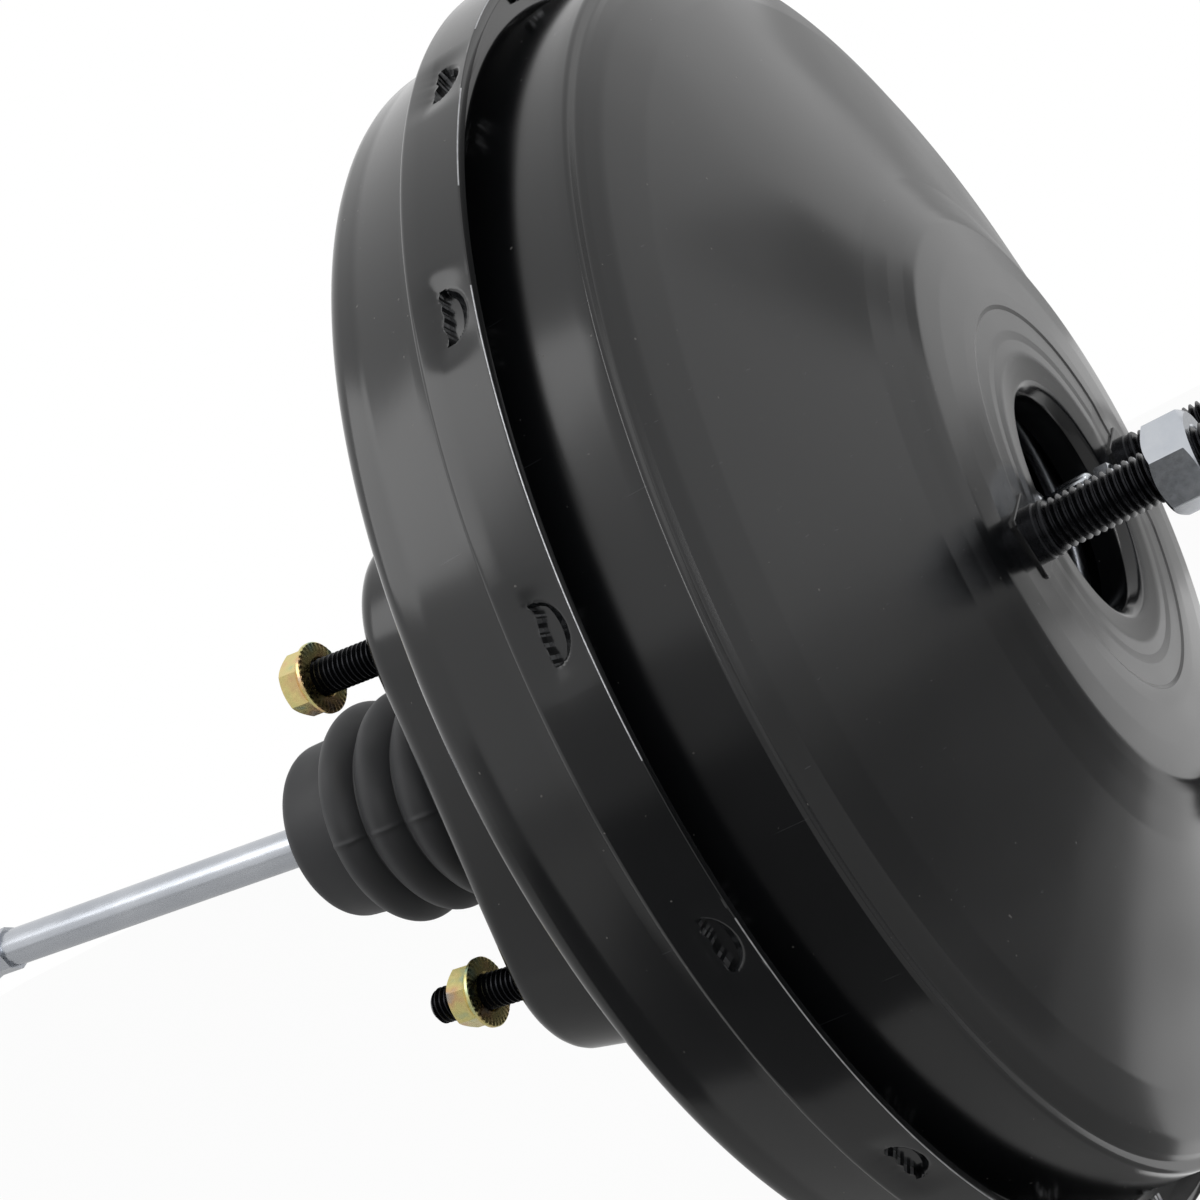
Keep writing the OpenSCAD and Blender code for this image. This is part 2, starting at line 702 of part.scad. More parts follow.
// Valve body, the moulded heart of the power piston: a tube with a valve seat, four air passages, a
// groove for the diaphragm's bead, a flange for its plate and a boss with the reaction disc's bore
seat_x = 6.5;
seat_rim = [10.6, 11.4];
seat_cone_h = 2.5;
web_r = 10;
key_slack = 0.3;
land_gap = 0.1;
land_x = key_x + key_t + land_gap;
guide_x = key_x + key_t + 2;
boss_x = valve_flange_x + valve_flange_t + boss_len;
disc_bore_deep = 10;
disc_floor_x = boss_x - disc_bore_deep;
passage_r0 = chamber_r - 0.8;
passage_r1 = 15;
passage_w = 7;
module valve_body() {
    flange_front_x = valve_flange_x + valve_flange_t;
    color([0.07, 0.07, 0.075])
        difference() {
            turned([[-tube_back, chamber_r], [-tube_back, tube_r], [lip_x - 6, tube_r], [lip_x - 4, lip_r],
                [lip_x, lip_r], [lip_x, groove_r], [valve_flange_x, groove_r],
                [valve_flange_x, valve_flange_r],
                [flange_front_x, valve_flange_r], [flange_front_x, boss_r], [boss_x, boss_r],
                [boss_x, disc_bore_r],
                [disc_floor_x, disc_bore_r], [disc_floor_x, guide_r], [guide_x, guide_r], [guide_x, web_r],
                [seat_x + seat_cone_h, web_r], [seat_x, seat_rim[0]], [seat_x, seat_rim[1]],
                [seat_x + seat_cone_h, seat_rim[1] + 0.6], [seat_x + seat_cone_h, chamber_r]]);
            for (a = [45:90:315])
                rotate([a, 0, 0])
                    translate([seat_x + over, passage_r0, -passage_w / 2])
                        cube([boss_x, passage_r1 - passage_r0, passage_w]);
            translate([key_x - key_slack, -key_w / 2 - seat_gap, -lip_r])
                cube([key_t + over, key_w + 2 * seat_gap, 2 * lip_r]);
        }
}

// Flat key through the valve body that holds the air valve and stops the power piston
key_slot_r = 4.6;
module stop_key() {
    color([0.7, 0.71, 0.73])
        difference() {
            translate([key_x, -key_w / 2, -key_h / 2])
                cube([key_t, key_w, key_h]);
            bar(key_x - over, key_x + key_t + over, key_slot_r, edge_fn);
            translate([key_x - over, -key_slot_r, 0])
                cube([key_t + 2 * over, 2 * key_slot_r, key_h]);
        }
}

// Air valve plunger: a ring that seats on the control valve, the socket for the rod's ball, the
// groove for the key and the nose that meets the reaction disc when the pedal is pressed hard
nose_gap = 1.7;
nose_x = disc_floor_x - nose_gap;
air_seat_x = 5.6;
air_rim = [8, 8.8];
air_rim_h = 0.6;
air_head_r = 9.4;
air_head_h = 3.4;
air_body_r = 7.6;
key_groove_r = 4.4;
key_groove_back = 1.6;
socket_mouth_r = 6.6;
module air_valve() {
    color([0.62, 0.62, 0.64])
        difference() {
            turned([[air_seat_x + air_rim_h, 0], [air_seat_x + air_rim_h, air_rim[0] - 0.4],
                [air_seat_x, air_rim[0]],
                [air_seat_x, air_rim[1]], [air_seat_x + air_rim_h, air_head_r],
                [air_seat_x + air_head_h, air_head_r],
                [air_seat_x + air_head_h, air_body_r], [key_x - key_groove_back, air_body_r],
                [key_x - key_groove_back, key_groove_r], [land_x, key_groove_r], [land_x, guide_r - run_gap],
                [nose_x, guide_r - run_gap], [nose_x, 0]]);
            translate([ball_x, 0, 0])
                sphere(r = rod_ball_r + run_gap, $fn = round_fn);
            turned([[air_seat_x - over, 0], [air_seat_x - over, socket_mouth_r],
                [air_seat_x + air_rim_h, socket_mouth_r - 0.4], [ball_x - rod_ball_r / 2, rod_ball_r - 0.55],
                [ball_x - rod_ball_r / 2, 0]]);
        }
}

// Rubber control valve: a thick face that seats on the air valve and on the valve body, a soft
// wall and a bead in the tube
poppet_x = air_seat_x - seat_gap;
poppet_t = 3.4;
poppet_bore_r = 6.6;
poppet_r = 12.2;
poppet_waist_r = 11.3;
poppet_wall = 1;
poppet_waist_x = -1;
retainer_x = -6;
bead_len = 3.4;
module control_valve() {
    color([0.08, 0.08, 0.08])
        turned([[poppet_x, poppet_bore_r], [poppet_x, poppet_r - 0.4], [poppet_x - poppet_t / 2, poppet_r],
            [poppet_x - poppet_t, poppet_r - 0.3], [poppet_waist_x, poppet_waist_r],
            [retainer_x + bead_len, poppet_waist_r + 0.8], [retainer_x + bead_len, chamber_r - seat_gap],
            [retainer_x + seat_gap, chamber_r - seat_gap], [retainer_x + seat_gap, poppet_waist_r - 0.2],
            [poppet_waist_x, poppet_waist_r - poppet_wall], [poppet_x - poppet_t, poppet_r - 1.5],
            [poppet_x - poppet_t, poppet_bore_r]]);
}

// Stamped cup that holds the control valve's bead in the tube
cup_t = 1.2;
cup_bore_r = 8;
cup_wall = 4;
module control_valve_retainer() {
    color([0.7, 0.71, 0.73])
        turned(sheet([[retainer_x, cup_bore_r], [retainer_x, chamber_r - seat_gap],
            [retainer_x - cup_t - cup_wall, chamber_r - seat_gap]], cup_t));
}

poppet_coil_r = 9.4;
module control_valve_spring() {
    half = poppet_wire / 2 + seat_gap;
    color([0.72, 0.73, 0.75])
        coil(retainer_x + half, poppet_x - poppet_t - half, poppet_coil_r, poppet_coil_r, poppet_wire, 4,
            14, 6, 0, 0);
}

// Spring that pushes the input rod back, from the cup to the rod's collar
collar_s = 28.8;
collar_r = 8.2;
rod_collar_t = 1.4;
rod_coil_r = [7, 9.6];
rod_coil_turns = 3.2;
// Room that the leaning collar needs at its edge
collar_room = 1.1;
module rod_return_spring() {
    lean = collar_s * sin(pad_tilt);
    x0 = ball_x - collar_s * cos(pad_tilt) + rod_wire / 2 + collar_room;
    x1 = retainer_x - cup_t - rod_wire / 2 - seat_gap;
    color([0.72, 0.73, 0.75])
        coil(x0, x1, rod_coil_r[0], rod_coil_r[1], rod_wire, rod_coil_turns, 15, 6, lean - 0.2, 0.3);
}

// Input rod with its ball, its thin neck, its spring collar and a forged eye for the pedal pin
neck_len = 20;
neck_taper = 4;
rod_neck_r = 3.4;
forge_len = 14;
forge_swell = 1;
module input_rod() {
    forge_s = rod_plain_len + forge_len;
    color([0.75, 0.77, 0.8])
        on_rod()
            union() {
                sphere(r = rod_ball_r, $fn = round_fn);
                turned([[-forge_s, 0], [-forge_s, rod_r - 0.3], [-rod_plain_len, rod_r],
                    [-collar_s - rod_collar_t, rod_r],
                    [-collar_s - rod_collar_t, collar_r], [-collar_s, collar_r], [-collar_s, rod_r],
                    [-neck_len - neck_taper, rod_r], [-neck_len, rod_neck_r], [0, rod_neck_r], [0, 0]]);
                translate([2 - forge_s, 0, 0])
                    rotate([0, 90, 0])
                        cylinder(h = forge_len - neck_taper, r = rod_r + forge_swell, $fn = 8);
                rod_eye();
            }
}

// Flat forged eye at the end of the input rod
eye_root_s = rod_plain_len + 8;
eye_shoulder = 3;
eye_taper = 2.4;
module rod_eye() {
    difference() {
        union() {
            translate([0, eye_t / 2, 0])
                rotate([90, 0, 0])
                    linear_extrude(height = eye_t)
                        polygon([[-eye_root_s, rod_r], [-eye_root_s, -rod_r],
                            [eye_shoulder - eye_reach, eye_taper - eye_r],
                            [eye_shoulder - eye_reach, eye_r - eye_taper]]);
            translate([-eye_reach, eye_t / 2, 0])
                rotate([90, 0, 0])
                    cylinder(h = eye_t, r = eye_r, $fn = round_fn);
        }
        translate([-eye_reach, eye_t / 2 + over, 0])
            rotate([90, 0, 0])
                cylinder(h = eye_t + 2 * over, r = eye_bore_r, $fn = round_fn);
    }
}

// Foam ring in the open end of the tube, bored along the leaning rod
filter_inset = 0.4;
filter_t = 3.4;
filter_gap = 1.4;
module air_filter() {
    color([0.2, 0.2, 0.19])
        difference() {
            bar(filter_inset - tube_back, filter_inset + filter_t - tube_back, chamber_r - seat_gap);
            on_rod()
                bar(-ball_x - 2 * tube_back, 0, rod_r + filter_gap, edge_fn);
        }
}

// Outside radius of the boot at a distance behind the pad
boot_root = 3.9;
boot_steps = 8;
wave_power = 0.75;
wave_end = boot_root + boot_pitch * boot_waves;
nose_round = 4;
nose_lip = 6;
nose_wall = 2.2;
function crest(s) =
    boot_valley_r + (boot_crest_r - boot_valley_r) * pow(abs(sin(180 * (s - boot_root) / boot_pitch)),
        wave_power);
function wave_s(i) = boot_root + boot_pitch * i / boot_steps;
boot_outside = concat(
    [for (i = [1:boot_steps * boot_waves]) [-wave_s(i), crest(wave_s(i))]],
    [[-wave_end - 1, boot_nose_r + 0.4]],
    arc([nose_round - boot_len, boot_nose_r - nose_round], nose_round, 90, 180, 5));
boot_inside = concat(
    [[-boot_len, rod_r + seat_gap], [nose_lip - boot_len, rod_r + seat_gap],
    [nose_lip - boot_len, rod_r + 1.8],
        [nose_wall - boot_len, rod_r + 2.4], [nose_wall - boot_len, boot_nose_r - nose_round - 1],
        [nose_round + 1 - boot_len, boot_nose_r - boot_t], [-wave_end - 1.5, boot_nose_r - boot_t]],
    [for (i = [boot_steps * boot_waves:-1:1]) [-wave_s(i), crest(wave_s(i)) - boot_t]]);
collar_out_r = neck_r + 2.4;
collar_in_r = neck_r - 1.2;
collar_end = 8;
collar_grip = 0.3;
module boot() {
    color([0.09, 0.09, 0.095])
        union() {
            on_rod()
                translate([-ball_x, 0, 0])
                    turned(concat(boot_outside, boot_inside));
            turned([[-collar_end, collar_in_r], [-collar_end, collar_out_r - 1.6],
                [1.6 - collar_end, collar_out_r],
                [collar_grip - neck_back, collar_out_r], [collar_grip - neck_back, neck_r + seat_gap],
                [-neck_back - seat_gap, neck_r + seat_gap], [-neck_back - seat_gap, collar_in_r]]);
        }
}

// Rubber lip seal between the neck and the valve body's tube
seal_x = 8;
seal_len = 7;
seal_lip = [1.4, 3, 5, 6];
seal_relief = [1.6, 2];
module tube_seal() {
    bore = tube_r + run_gap;
    outside = neck_bore_r - seat_gap;
    color([0.1, 0.1, 0.1])
        turned([[seal_x, outside], [seal_x + seal_len, outside], [seal_x + seal_len, bore],
            [seal_x + seal_lip[3], bore],
            [seal_x + seal_lip[2], tube_r + seal_relief[0]], [seal_x + seal_lip[1], tube_r + seal_relief[1]],
            [seal_x + seal_lip[0], bore], [seal_x, bore]]);
}

// Plastic ring that guides the valve body's tube
module tube_bearing() {
    color([0.85, 0.84, 0.78])
        ring(seal_x + seal_len + seat_gap, neck_front_x - key_slack, neck_bore_r - seat_gap,
            tube_r + run_gap);
}

module reaction_disc() {
    color([0.12, 0.12, 0.12])
        bar(disc_floor_x + seat_gap, disc_floor_x + disc_t, disc_bore_r - run_gap);
}

// Output rod with a wide foot on the reaction disc and a knurled end in the hub's bore
knurl_x1 = hub_x + knurl_ahead;
knurl_x0 = knurl_x1 - knurl_len;
knurl_round = 0.8;
waist_r = knurl_r - 0.7;
waist_len = 3;
foot_x = disc_floor_x + disc_t + seat_gap;
foot_t = 5;
foot_cone = 4;
screw_bore_r = screw_r + seat_gap;
screw_bore_deep = 22;
module output_rod() {
    color([0.78, 0.78, 0.76])
        difference() {
            turned([[foot_x, 0], [foot_x, disc_bore_r - run_gap], [foot_x + foot_t, disc_bore_r - run_gap],
                [foot_x + foot_t + foot_cone, out_r], [knurl_x0 - waist_len - 1, out_r],
                [knurl_x0 - waist_len, waist_r],
                [knurl_x0 - 0.1, waist_r], [knurl_x0 + knurl_round, knurl_r],
                [knurl_x1 - knurl_round, knurl_r],
                [knurl_x1, knurl_r - knurl_round], [knurl_x1, 0]]);
            bar(knurl_x1 - screw_bore_deep, knurl_x1 + over, screw_bore_r, edge_fn);
        }
}

// Adjusting screw: threaded shank in the rod, hexagon and threaded tip outside
screw_gap = 1;
screw_shank = 16;
screw_head_t = 3.4;
tip_len = 1.6;
module adjusting_screw() {
    head_x = knurl_x1 + screw_gap;
    tip_x = hub_x + screw_ahead;
    color([0.82, 0.82, 0.8])
        union() {
            bar(knurl_x1 - screw_shank, head_x, screw_r, edge_fn);
            hexagon(head_x, head_x + screw_head_t, screw_af, 0);
            bar(head_x + screw_head_t, tip_x - tip_len, screw_r, edge_fn);
            turned([[tip_x - tip_len, 0], [tip_x - tip_len, screw_r], [tip_x - tip_len / 3, screw_r - 0.6],
                [tip_x, screw_r - 1.5], [tip_x, 0]]);
        }
}

// Stamped seat for the main spring on the valve body's flange
seat_t = 1.2;
seat_turn_up = 3.4;
spring_seat_x = valve_flange_x + valve_flange_t + seat_gap;
module spring_seat() {
    color([0.6, 0.6, 0.62])
        turned(sheet([[spring_seat_x, boss_r + seat_gap], [spring_seat_x, valve_flange_r - 2],
            [spring_seat_x + seat_turn_up, valve_flange_r - 1]], -seat_t));
}

module return_spring() {
    half = main_wire / 2 + seat_gap;
    color([0.6, 0.61, 0.63])
        coil(spring_seat_x + seat_t + half, hub_x - front_t - hub_step_h - half, main_r0, main_r1,
            main_wire, main_turns,
            22, 8, 0, 0);
}

// Rubber grommet that holds the check valve in the front shell
grommet_back = 6;
grommet_front = 3.4;
grommet_r = [8.6, 10.6, 12.6, 11.4];
module port_grommet() {
    inside = port_face_x - front_t - seat_gap;
    outside = port_face_x + seat_gap;
    color([0.1, 0.1, 0.1])
        at_port()
            turned([[port_face_x - grommet_back, stem_r + seat_gap],
                [port_face_x - grommet_back, grommet_r[0]],
                [inside, grommet_r[1]], [inside, port_hole_r - seat_gap], [outside, port_hole_r - seat_gap],
                [outside, grommet_r[2]], [port_face_x + grommet_front - 0.8, grommet_r[2]],
                [port_face_x + grommet_front, grommet_r[3]],
                [port_face_x + grommet_front, stem_r + seat_gap]]);
}

// Base of the check valve: barbed stem, flange and seat for the disc
base_x = port_face_x + grommet_front + seat_gap;
base_t = 2;
base_r = 10;
disc_seat_h = 3.4;
disc_seat_r = 7;
barb_x = port_face_x - grommet_back - 0.2;
barb_len = 3.8;
module check_valve_base() {
    color([0.08, 0.08, 0.08])
        at_port()
            turned([[barb_x - barb_len, nozzle_bore_r], [barb_x - barb_len, stem_r - 0.8],
                [barb_x - 0.4, stem_r + 0.9],
                [barb_x, stem_r], [base_x, stem_r], [base_x, base_r], [base_x + base_t, base_r],
                [base_x + base_t, disc_seat_r], [base_x + disc_seat_h, disc_seat_r],
                [base_x + disc_seat_h, nozzle_bore_r]]);
}

// Cap of the check valve: housing and hose nozzle
cap_x = base_x + base_t + seat_gap;
cap_len = 14;
cap_r = 9.4;
cap_t = 2;
module check_valve_cap() {
    end = cap_x + cap_len;
    tip = end + nozzle_len;
    color([0.08, 0.08, 0.08])
        at_port()
            turned([[cap_x, disc_seat_r + 0.1], [cap_x, cap_r], [end - 1, cap_r], [end, cap_r - 1],
                [end, nozzle_r],
                [tip - 1, nozzle_r], [tip, nozzle_r - 0.8], [tip, nozzle_bore_r],
                [end - cap_t, nozzle_bore_r],
                [end - cap_t, disc_seat_r + 0.1]]);
}

disc_x = base_x + disc_seat_h + seat_gap;
valve_disc_r = 5.2;
valve_disc_t = 1.4;
disc_hub_r = [3, 2.2];
disc_hub_h = 0.6;
module check_valve_disc() {
    hub_face = disc_x + valve_disc_t;
    color([0.12, 0.12, 0.12])
        at_port()
            turned([[disc_x, 0], [disc_x, valve_disc_r], [hub_face, valve_disc_r], [hub_face, disc_hub_r[0]],
                [hub_face + disc_hub_h, disc_hub_r[1]], [hub_face + disc_hub_h, 0]]);
}

check_wire = 0.6;
check_coil_r = 4.2;
module check_valve_spring() {
    half = check_wire / 2 + seat_gap;
    color([0.72, 0.73, 0.75])
        at_port()
            coil(disc_x + valve_disc_t + half, cap_x + cap_len - cap_t - half, check_coil_r, check_coil_r,
                check_wire,
                4, 12, 6, 0, 0);
}

rear_shell();
front_shell();
pad_backing_plate();
hub_backing_plate();
firewall_studs();
firewall_nuts();
cylinder_studs();
cylinder_nuts();
diaphragm();
diaphragm_plate();
valve_body();
stop_key();
air_valve();
control_valve();
control_valve_retainer();
control_valve_spring();
rod_return_spring();
input_rod();
air_filter();
boot();
tube_seal();
tube_bearing();
reaction_disc();
output_rod();
adjusting_screw();
return_spring();
spring_seat();
port_grommet();
check_valve_base();
check_valve_cap();
check_valve_disc();
check_valve_spring();
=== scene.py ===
# %% [markdown]
# # Looks of a vacuum brake booster
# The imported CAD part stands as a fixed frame, in metres, with +X towards the master cylinder and
# +Z up. This lesson dresses it: the two pressed steel shells and their crimped rim get real
# bends and torn tabs, the screws get helical threads, the rubber boot gets soft bellows, and
# every piece gets a finish that starts from what it is made of. Sizes below are in millimetres.

# %% Open the frame
import json
import math

import bmesh
import bpy
import numpy as np
from mathutils import Matrix, Vector

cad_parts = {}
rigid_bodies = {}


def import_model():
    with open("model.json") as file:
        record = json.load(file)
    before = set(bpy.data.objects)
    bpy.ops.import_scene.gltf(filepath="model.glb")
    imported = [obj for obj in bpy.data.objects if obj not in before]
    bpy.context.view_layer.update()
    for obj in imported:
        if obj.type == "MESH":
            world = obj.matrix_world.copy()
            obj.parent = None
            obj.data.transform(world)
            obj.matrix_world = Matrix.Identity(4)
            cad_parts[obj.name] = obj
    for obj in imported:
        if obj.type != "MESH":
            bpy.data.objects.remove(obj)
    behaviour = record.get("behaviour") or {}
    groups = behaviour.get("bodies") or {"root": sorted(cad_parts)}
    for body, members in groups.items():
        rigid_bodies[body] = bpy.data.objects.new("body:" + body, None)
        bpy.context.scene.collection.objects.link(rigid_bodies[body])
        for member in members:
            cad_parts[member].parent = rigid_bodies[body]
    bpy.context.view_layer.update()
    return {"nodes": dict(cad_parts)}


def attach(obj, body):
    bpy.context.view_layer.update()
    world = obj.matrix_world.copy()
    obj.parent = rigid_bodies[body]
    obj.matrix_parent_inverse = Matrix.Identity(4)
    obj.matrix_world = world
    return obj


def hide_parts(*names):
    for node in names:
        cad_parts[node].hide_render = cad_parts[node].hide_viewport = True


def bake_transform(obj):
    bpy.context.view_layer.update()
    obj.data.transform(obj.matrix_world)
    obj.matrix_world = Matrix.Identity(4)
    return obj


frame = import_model()

# %% [markdown]
# ## Sizes shared by the pieces
# The rim of the shells lies in the plane x = 99 with a radius of 140. The pad that bolts to the
# firewall is inclined by six degrees about the Y axis, and the hub that carries the master
# cylinder stands at x = 139. All of them are the same values as in the CAD source.

# %% Shared sizes
MM = 0.001
# The rim band: its front edge and radius, its rear edge and how much wider it is there, and the
# radius from which its rear wall rises.
RIM_X, RIM_R = 99.0, 140.0
BAND_BACK_X, BAND_FLARE = 86.3, 0.6
BAND_FOOT_R = 136.2
# The rear shell and the band are one sheet. Their meshes meet at this ring.
SEAM_X, SEAM_R = 82.0, 135.6
REAR_T, FRONT_T = 1.8, 1.6
# The inclined pad, the rounding of its edge, and how far its walls spread for each mm of depth.
PAD_TILT = math.radians(6)
PAD_W, PAD_H, PAD_CORNER = 98.0, 118.0, 25.0
PAD_EDGE, PAD_SPREAD = 5.0, 6.0 / 64.0
NECK_R, NECK_BORE, NECK_BACK, NECK_FRONT = 23.0, 21.4, -3.0, 18.35
HUB_X = 139.0
# The input rod and the boot lean about the ball at the rod's end.
BALL_X = 12.0

# %% [markdown]
# ## From outline to surface
# Nearly everything here is turned or pressed, so one helper does most of the work: it takes one
# outline for each angle round the booster axis and joins them into a skin. Because the outline
# may change with the angle, the same helper also makes knurls, hexagons and threads.

# %% Mesh helpers
# Distances in metres below which points are welded and edges count as nothing.
WELD, SLIVER = 1e-6, 1e-7


def to_mesh(name, rings, loop=True, merge=True, sharp=30):
    """Joins rings of points, one ring for each angle, into a smooth mesh. Points are in mm.

    Each ring closes on itself if loop is set, and the last ring joins the first unless merge is
    None. Edges that bend by more than the sharp angle, in degrees, stay crisp.
    """
    rings = np.asarray(rings, float)
    count, size, _ = rings.shape
    index = np.arange(count * size).reshape(count, size)
    after = index if merge is None else np.roll(index, -1, axis=0)
    a, b = (index[:-1], index[1:]) if merge is None else (index, after)
    if loop:
        a2, b2 = np.roll(a, -1, axis=1), np.roll(b, -1, axis=1)
    else:
        a, a2, b, b2 = a[:, :-1], a[:, 1:], b[:, :-1], b[:, 1:]
    faces = np.stack([a, a2, b2, b], axis=-1).reshape(-1, 4)
    mesh = bpy.data.meshes.new(name)
    mesh.from_pydata((rings.reshape(-1, 3) * MM).tolist(), [], faces.tolist())
    cleaned(mesh)
    mesh.shade_smooth()
    mesh.set_sharp_from_angle(angle=math.radians(sharp))
    piece = bpy.data.objects.new(name, mesh)
    bpy.context.collection.objects.link(piece)
    return piece


def cleaned(mesh):
    """Welds doubled points and turns all faces outwards."""
    work = bmesh.new()
    work.from_mesh(mesh)
    bmesh.ops.remove_doubles(work, verts=work.verts, dist=WELD)
    bmesh.ops.dissolve_degenerate(work, edges=work.edges, dist=SLIVER)
    bmesh.ops.recalc_face_normals(work, faces=work.faces)
    work.to_mesh(mesh)
    work.free()


def spun(outline, angles):
    """Rings of points: outline(angle) gives axial positions and radii for that angle."""
    rings = []
    for t in angles:
        p = np.asarray(outline(t), float)
        rings.append(np.stack([p[:, 0], p[:, 1] * math.cos(t), p[:, 1] * math.sin(t)], axis=1))
    return np.array(rings)


def even(count):
    """Angles spread evenly over one turn."""
    return np.arange(count) * 2 * math.pi / count


def smooth(t):
    """Goes from 0 to 1 with level ends."""
    t = np.clip(t, 0, 1)
    return t * t * (3 - 2 * t)


print("mesh helpers ready")

# %% [markdown]
# ## Bends in sheet metal
# A pressed sheet is drawn as a line with a bend radius at each corner. The other face of the
# sheet is the same line moved sideways by the thickness, with each bend tighter or wider.

# %% Bend helpers
# A corner whose half angle is larger than this isn't rounded. A bend takes at most this share of
# the lines on its sides, and a bend that the sheet's thickness tightens keeps a small radius.
NEARLY_STRAIGHT, BEND_SHARE, LEAST_BEND = math.radians(89.5), 0.48, 0.3


def bent(points, steps=5):
    """Rounds each corner (x, r, bend radius) of an open line with an arc."""
    out = [np.array(points[0][:2], float)]
    for before, here, after in zip(points, points[1:-1], points[2:]):
        p, a, b = (np.array(q[:2], float) for q in (here, before, after))
        u, v = (a - p) / np.linalg.norm(a - p), (b - p) / np.linalg.norm(b - p)
        half = math.acos(np.clip(np.dot(u, v), -1, 1)) / 2
        if here[2] <= 0 or half > NEARLY_STRAIGHT:
            out.append(p)
            continue
        room = BEND_SHARE * min(np.linalg.norm(a - p), np.linalg.norm(b - p))
        reach = min(here[2] / math.tan(half), room)
        radius = reach * math.tan(half)
        middle = p + (u + v) / np.linalg.norm(u + v) * radius / math.sin(half)
        start, end = p + u * reach - middle, p + v * reach - middle
        turn = math.atan2(start[0] * end[1] - start[1] * end[0], float(np.dot(start, end)))
        for i in range(steps + 1):
            c, s = math.cos(turn * i / steps), math.sin(turn * i / steps)
            out.append(middle + np.array([c * start[0] - s * start[1], s * start[0] + c * start[1]]))
    out.append(np.array(points[-1][:2], float))
    return np.array(out)


def beside(points, t):
    """The other face of a sheet: the same corners moved to the left by t, bends adjusted."""
    p = np.array([q[:2] for q in points], float)
    d = np.diff(p, axis=0)
    n = np.stack([-d[:, 1], d[:, 0]], axis=1) / np.linalg.norm(d, axis=1)[:, None]
    out = []
    for i, q in enumerate(points):
        n1, n2 = n[max(i - 1, 0)], n[min(i, len(n) - 1)]
        moved = p[i] + (n1 + n2) * t / (1 + float(np.dot(n1, n2)))
        left_turn = n1[0] * n2[1] - n1[1] * n2[0] > 0
        bend = 0 if q[2] <= 0 else max(q[2] + (-t if left_turn else t), LEAST_BEND)
        out.append((moved[0], moved[1], bend))
    return out


def pressed(points, t, steps=5):
    """Closed outline of a sheet that follows the line, with its second face on the left."""
    return np.concatenate([bent(points, steps), bent(beside(points, t), steps)[::-1]])


def filled(line, gap):
    """Adds points so that none of a line's pieces is longer than gap."""
    out = [line[0]]
    for a, b in zip(line[:-1], line[1:]):
        parts = max(1, int(math.ceil(np.linalg.norm(b - a) / gap)))
        out += [a + (b - a) * k / parts for k in range(1, parts + 1)]
    return np.array(out)


print("bend helpers ready")

# %% [markdown]
# ## Finishes
# Colours are written as sRGB hex and go through one function to linear light. A second small
# function adds a shader node with its settings and links. Pattern sizes are real sizes in mm:
# a noise of 25 mm waviness has a scale of 1000 / 25 in metres.

# %% Shader helpers
def linear(hexcode, alpha=1.0):
    """Linear colour of an sRGB hex code, by the sRGB standard's own curve."""
    parts = [int(hexcode[i:i + 2], 16) / 255 for i in (1, 3, 5)]
    return tuple(c / 12.92 if c <= 0.04045 else ((c + 0.055) / 1.055) ** 2.4 for c in parts) + (alpha,)


def add(tree, kind, settings=None, links=None):
    """Adds a node. Settings fill its properties or its sockets, links join outputs to sockets."""
    made = tree.nodes.new(kind)
    for key, value in (settings or {}).items():
        if isinstance(key, str) and hasattr(made, key):
            setattr(made, key, value)
        else:
            made.inputs[key].default_value = value
    for key, source in (links or {}).items():
        tree.links.new(source, made.inputs[key])
    return made


def size(mm):
    """Scale of a noise whose patches are about this many millimetres across."""
    return 1000.0 / mm


def start(name, base, rough, metal=0.0):
    """A new finish: returns its tree, its main shader and the object's own coordinates."""
    made = bpy.data.materials.new(name)
    made.use_nodes = True
    made.diffuse_color = linear(base)
    tree = made.node_tree
    tree.nodes.clear()
    shader = add(tree, "ShaderNodeBsdfPrincipled",
                 {"Base Color": linear(base), "Roughness": rough, "Metallic": metal})
    add(tree, "ShaderNodeOutputMaterial", None, {"Surface": shader.outputs["BSDF"]})
    place = add(tree, "ShaderNodeTexCoord").outputs["Object"]
    return made, tree, shader, place


def noise(tree, place, mm, detail=2.0, stretch=None, rough=0.5):
    """Cloudy pattern with patches of this size, stretched along an axis if asked."""
    if stretch is not None:
        place = add(tree, "ShaderNodeMapping", {"Scale": stretch}, {"Vector": place}).outputs["Vector"]
    return add(tree, "ShaderNodeTexNoise", {"Scale": size(mm), "Detail": detail, "Roughness": rough},
               {"Vector": place}).outputs["Fac"]


# The middle part of a noise, where nearly all of its values lie.
MIDDLE = (0.3, 0.7)


def span(tree, value, low, high, to_low, to_high):
    """Maps low..high of a pattern to another range."""
    return add(tree, "ShaderNodeMapRange",
               {1: low, 2: high, 3: to_low, 4: to_high}, {0: value}).outputs[0]


def mixed(tree, factor, first, second):
    """Mixes two colours, each a hex code or an output, by a pattern."""
    made = add(tree, "ShaderNodeMix", {"data_type": "RGBA"})
    tree.links.new(factor, made.inputs[0])
    for socket, colour in ((made.inputs[6], first), (made.inputs[7], second)):
        if isinstance(colour, str):
            socket.default_value = linear(colour)
        else:
            tree.links.new(colour, socket)
    return made.outputs[2]


def relief(tree, shader, height, mm_deep, after=None):
    """Adds a bump of this depth in mm, on top of an earlier one."""
    made = add(tree, "ShaderNodeBump", {"Strength": 1.0, "Distance": mm_deep * MM}, {"Height": height})
    if after is not None:
        tree.links.new(after, made.inputs["Normal"])
    tree.links.new(made.outputs["Normal"], shader.inputs["Normal"])
    return made.outputs["Normal"]


print("shader helpers ready")

# %% [markdown]
# ### Black paint on the shells
# Both shells are deep drawn steel under one coat of semi-gloss black. It mirrors the studio
# softly: the drawn sheet is a little wavy, the coat has a fine orange peel, and handling has
# left dust and a few hairline scratches.

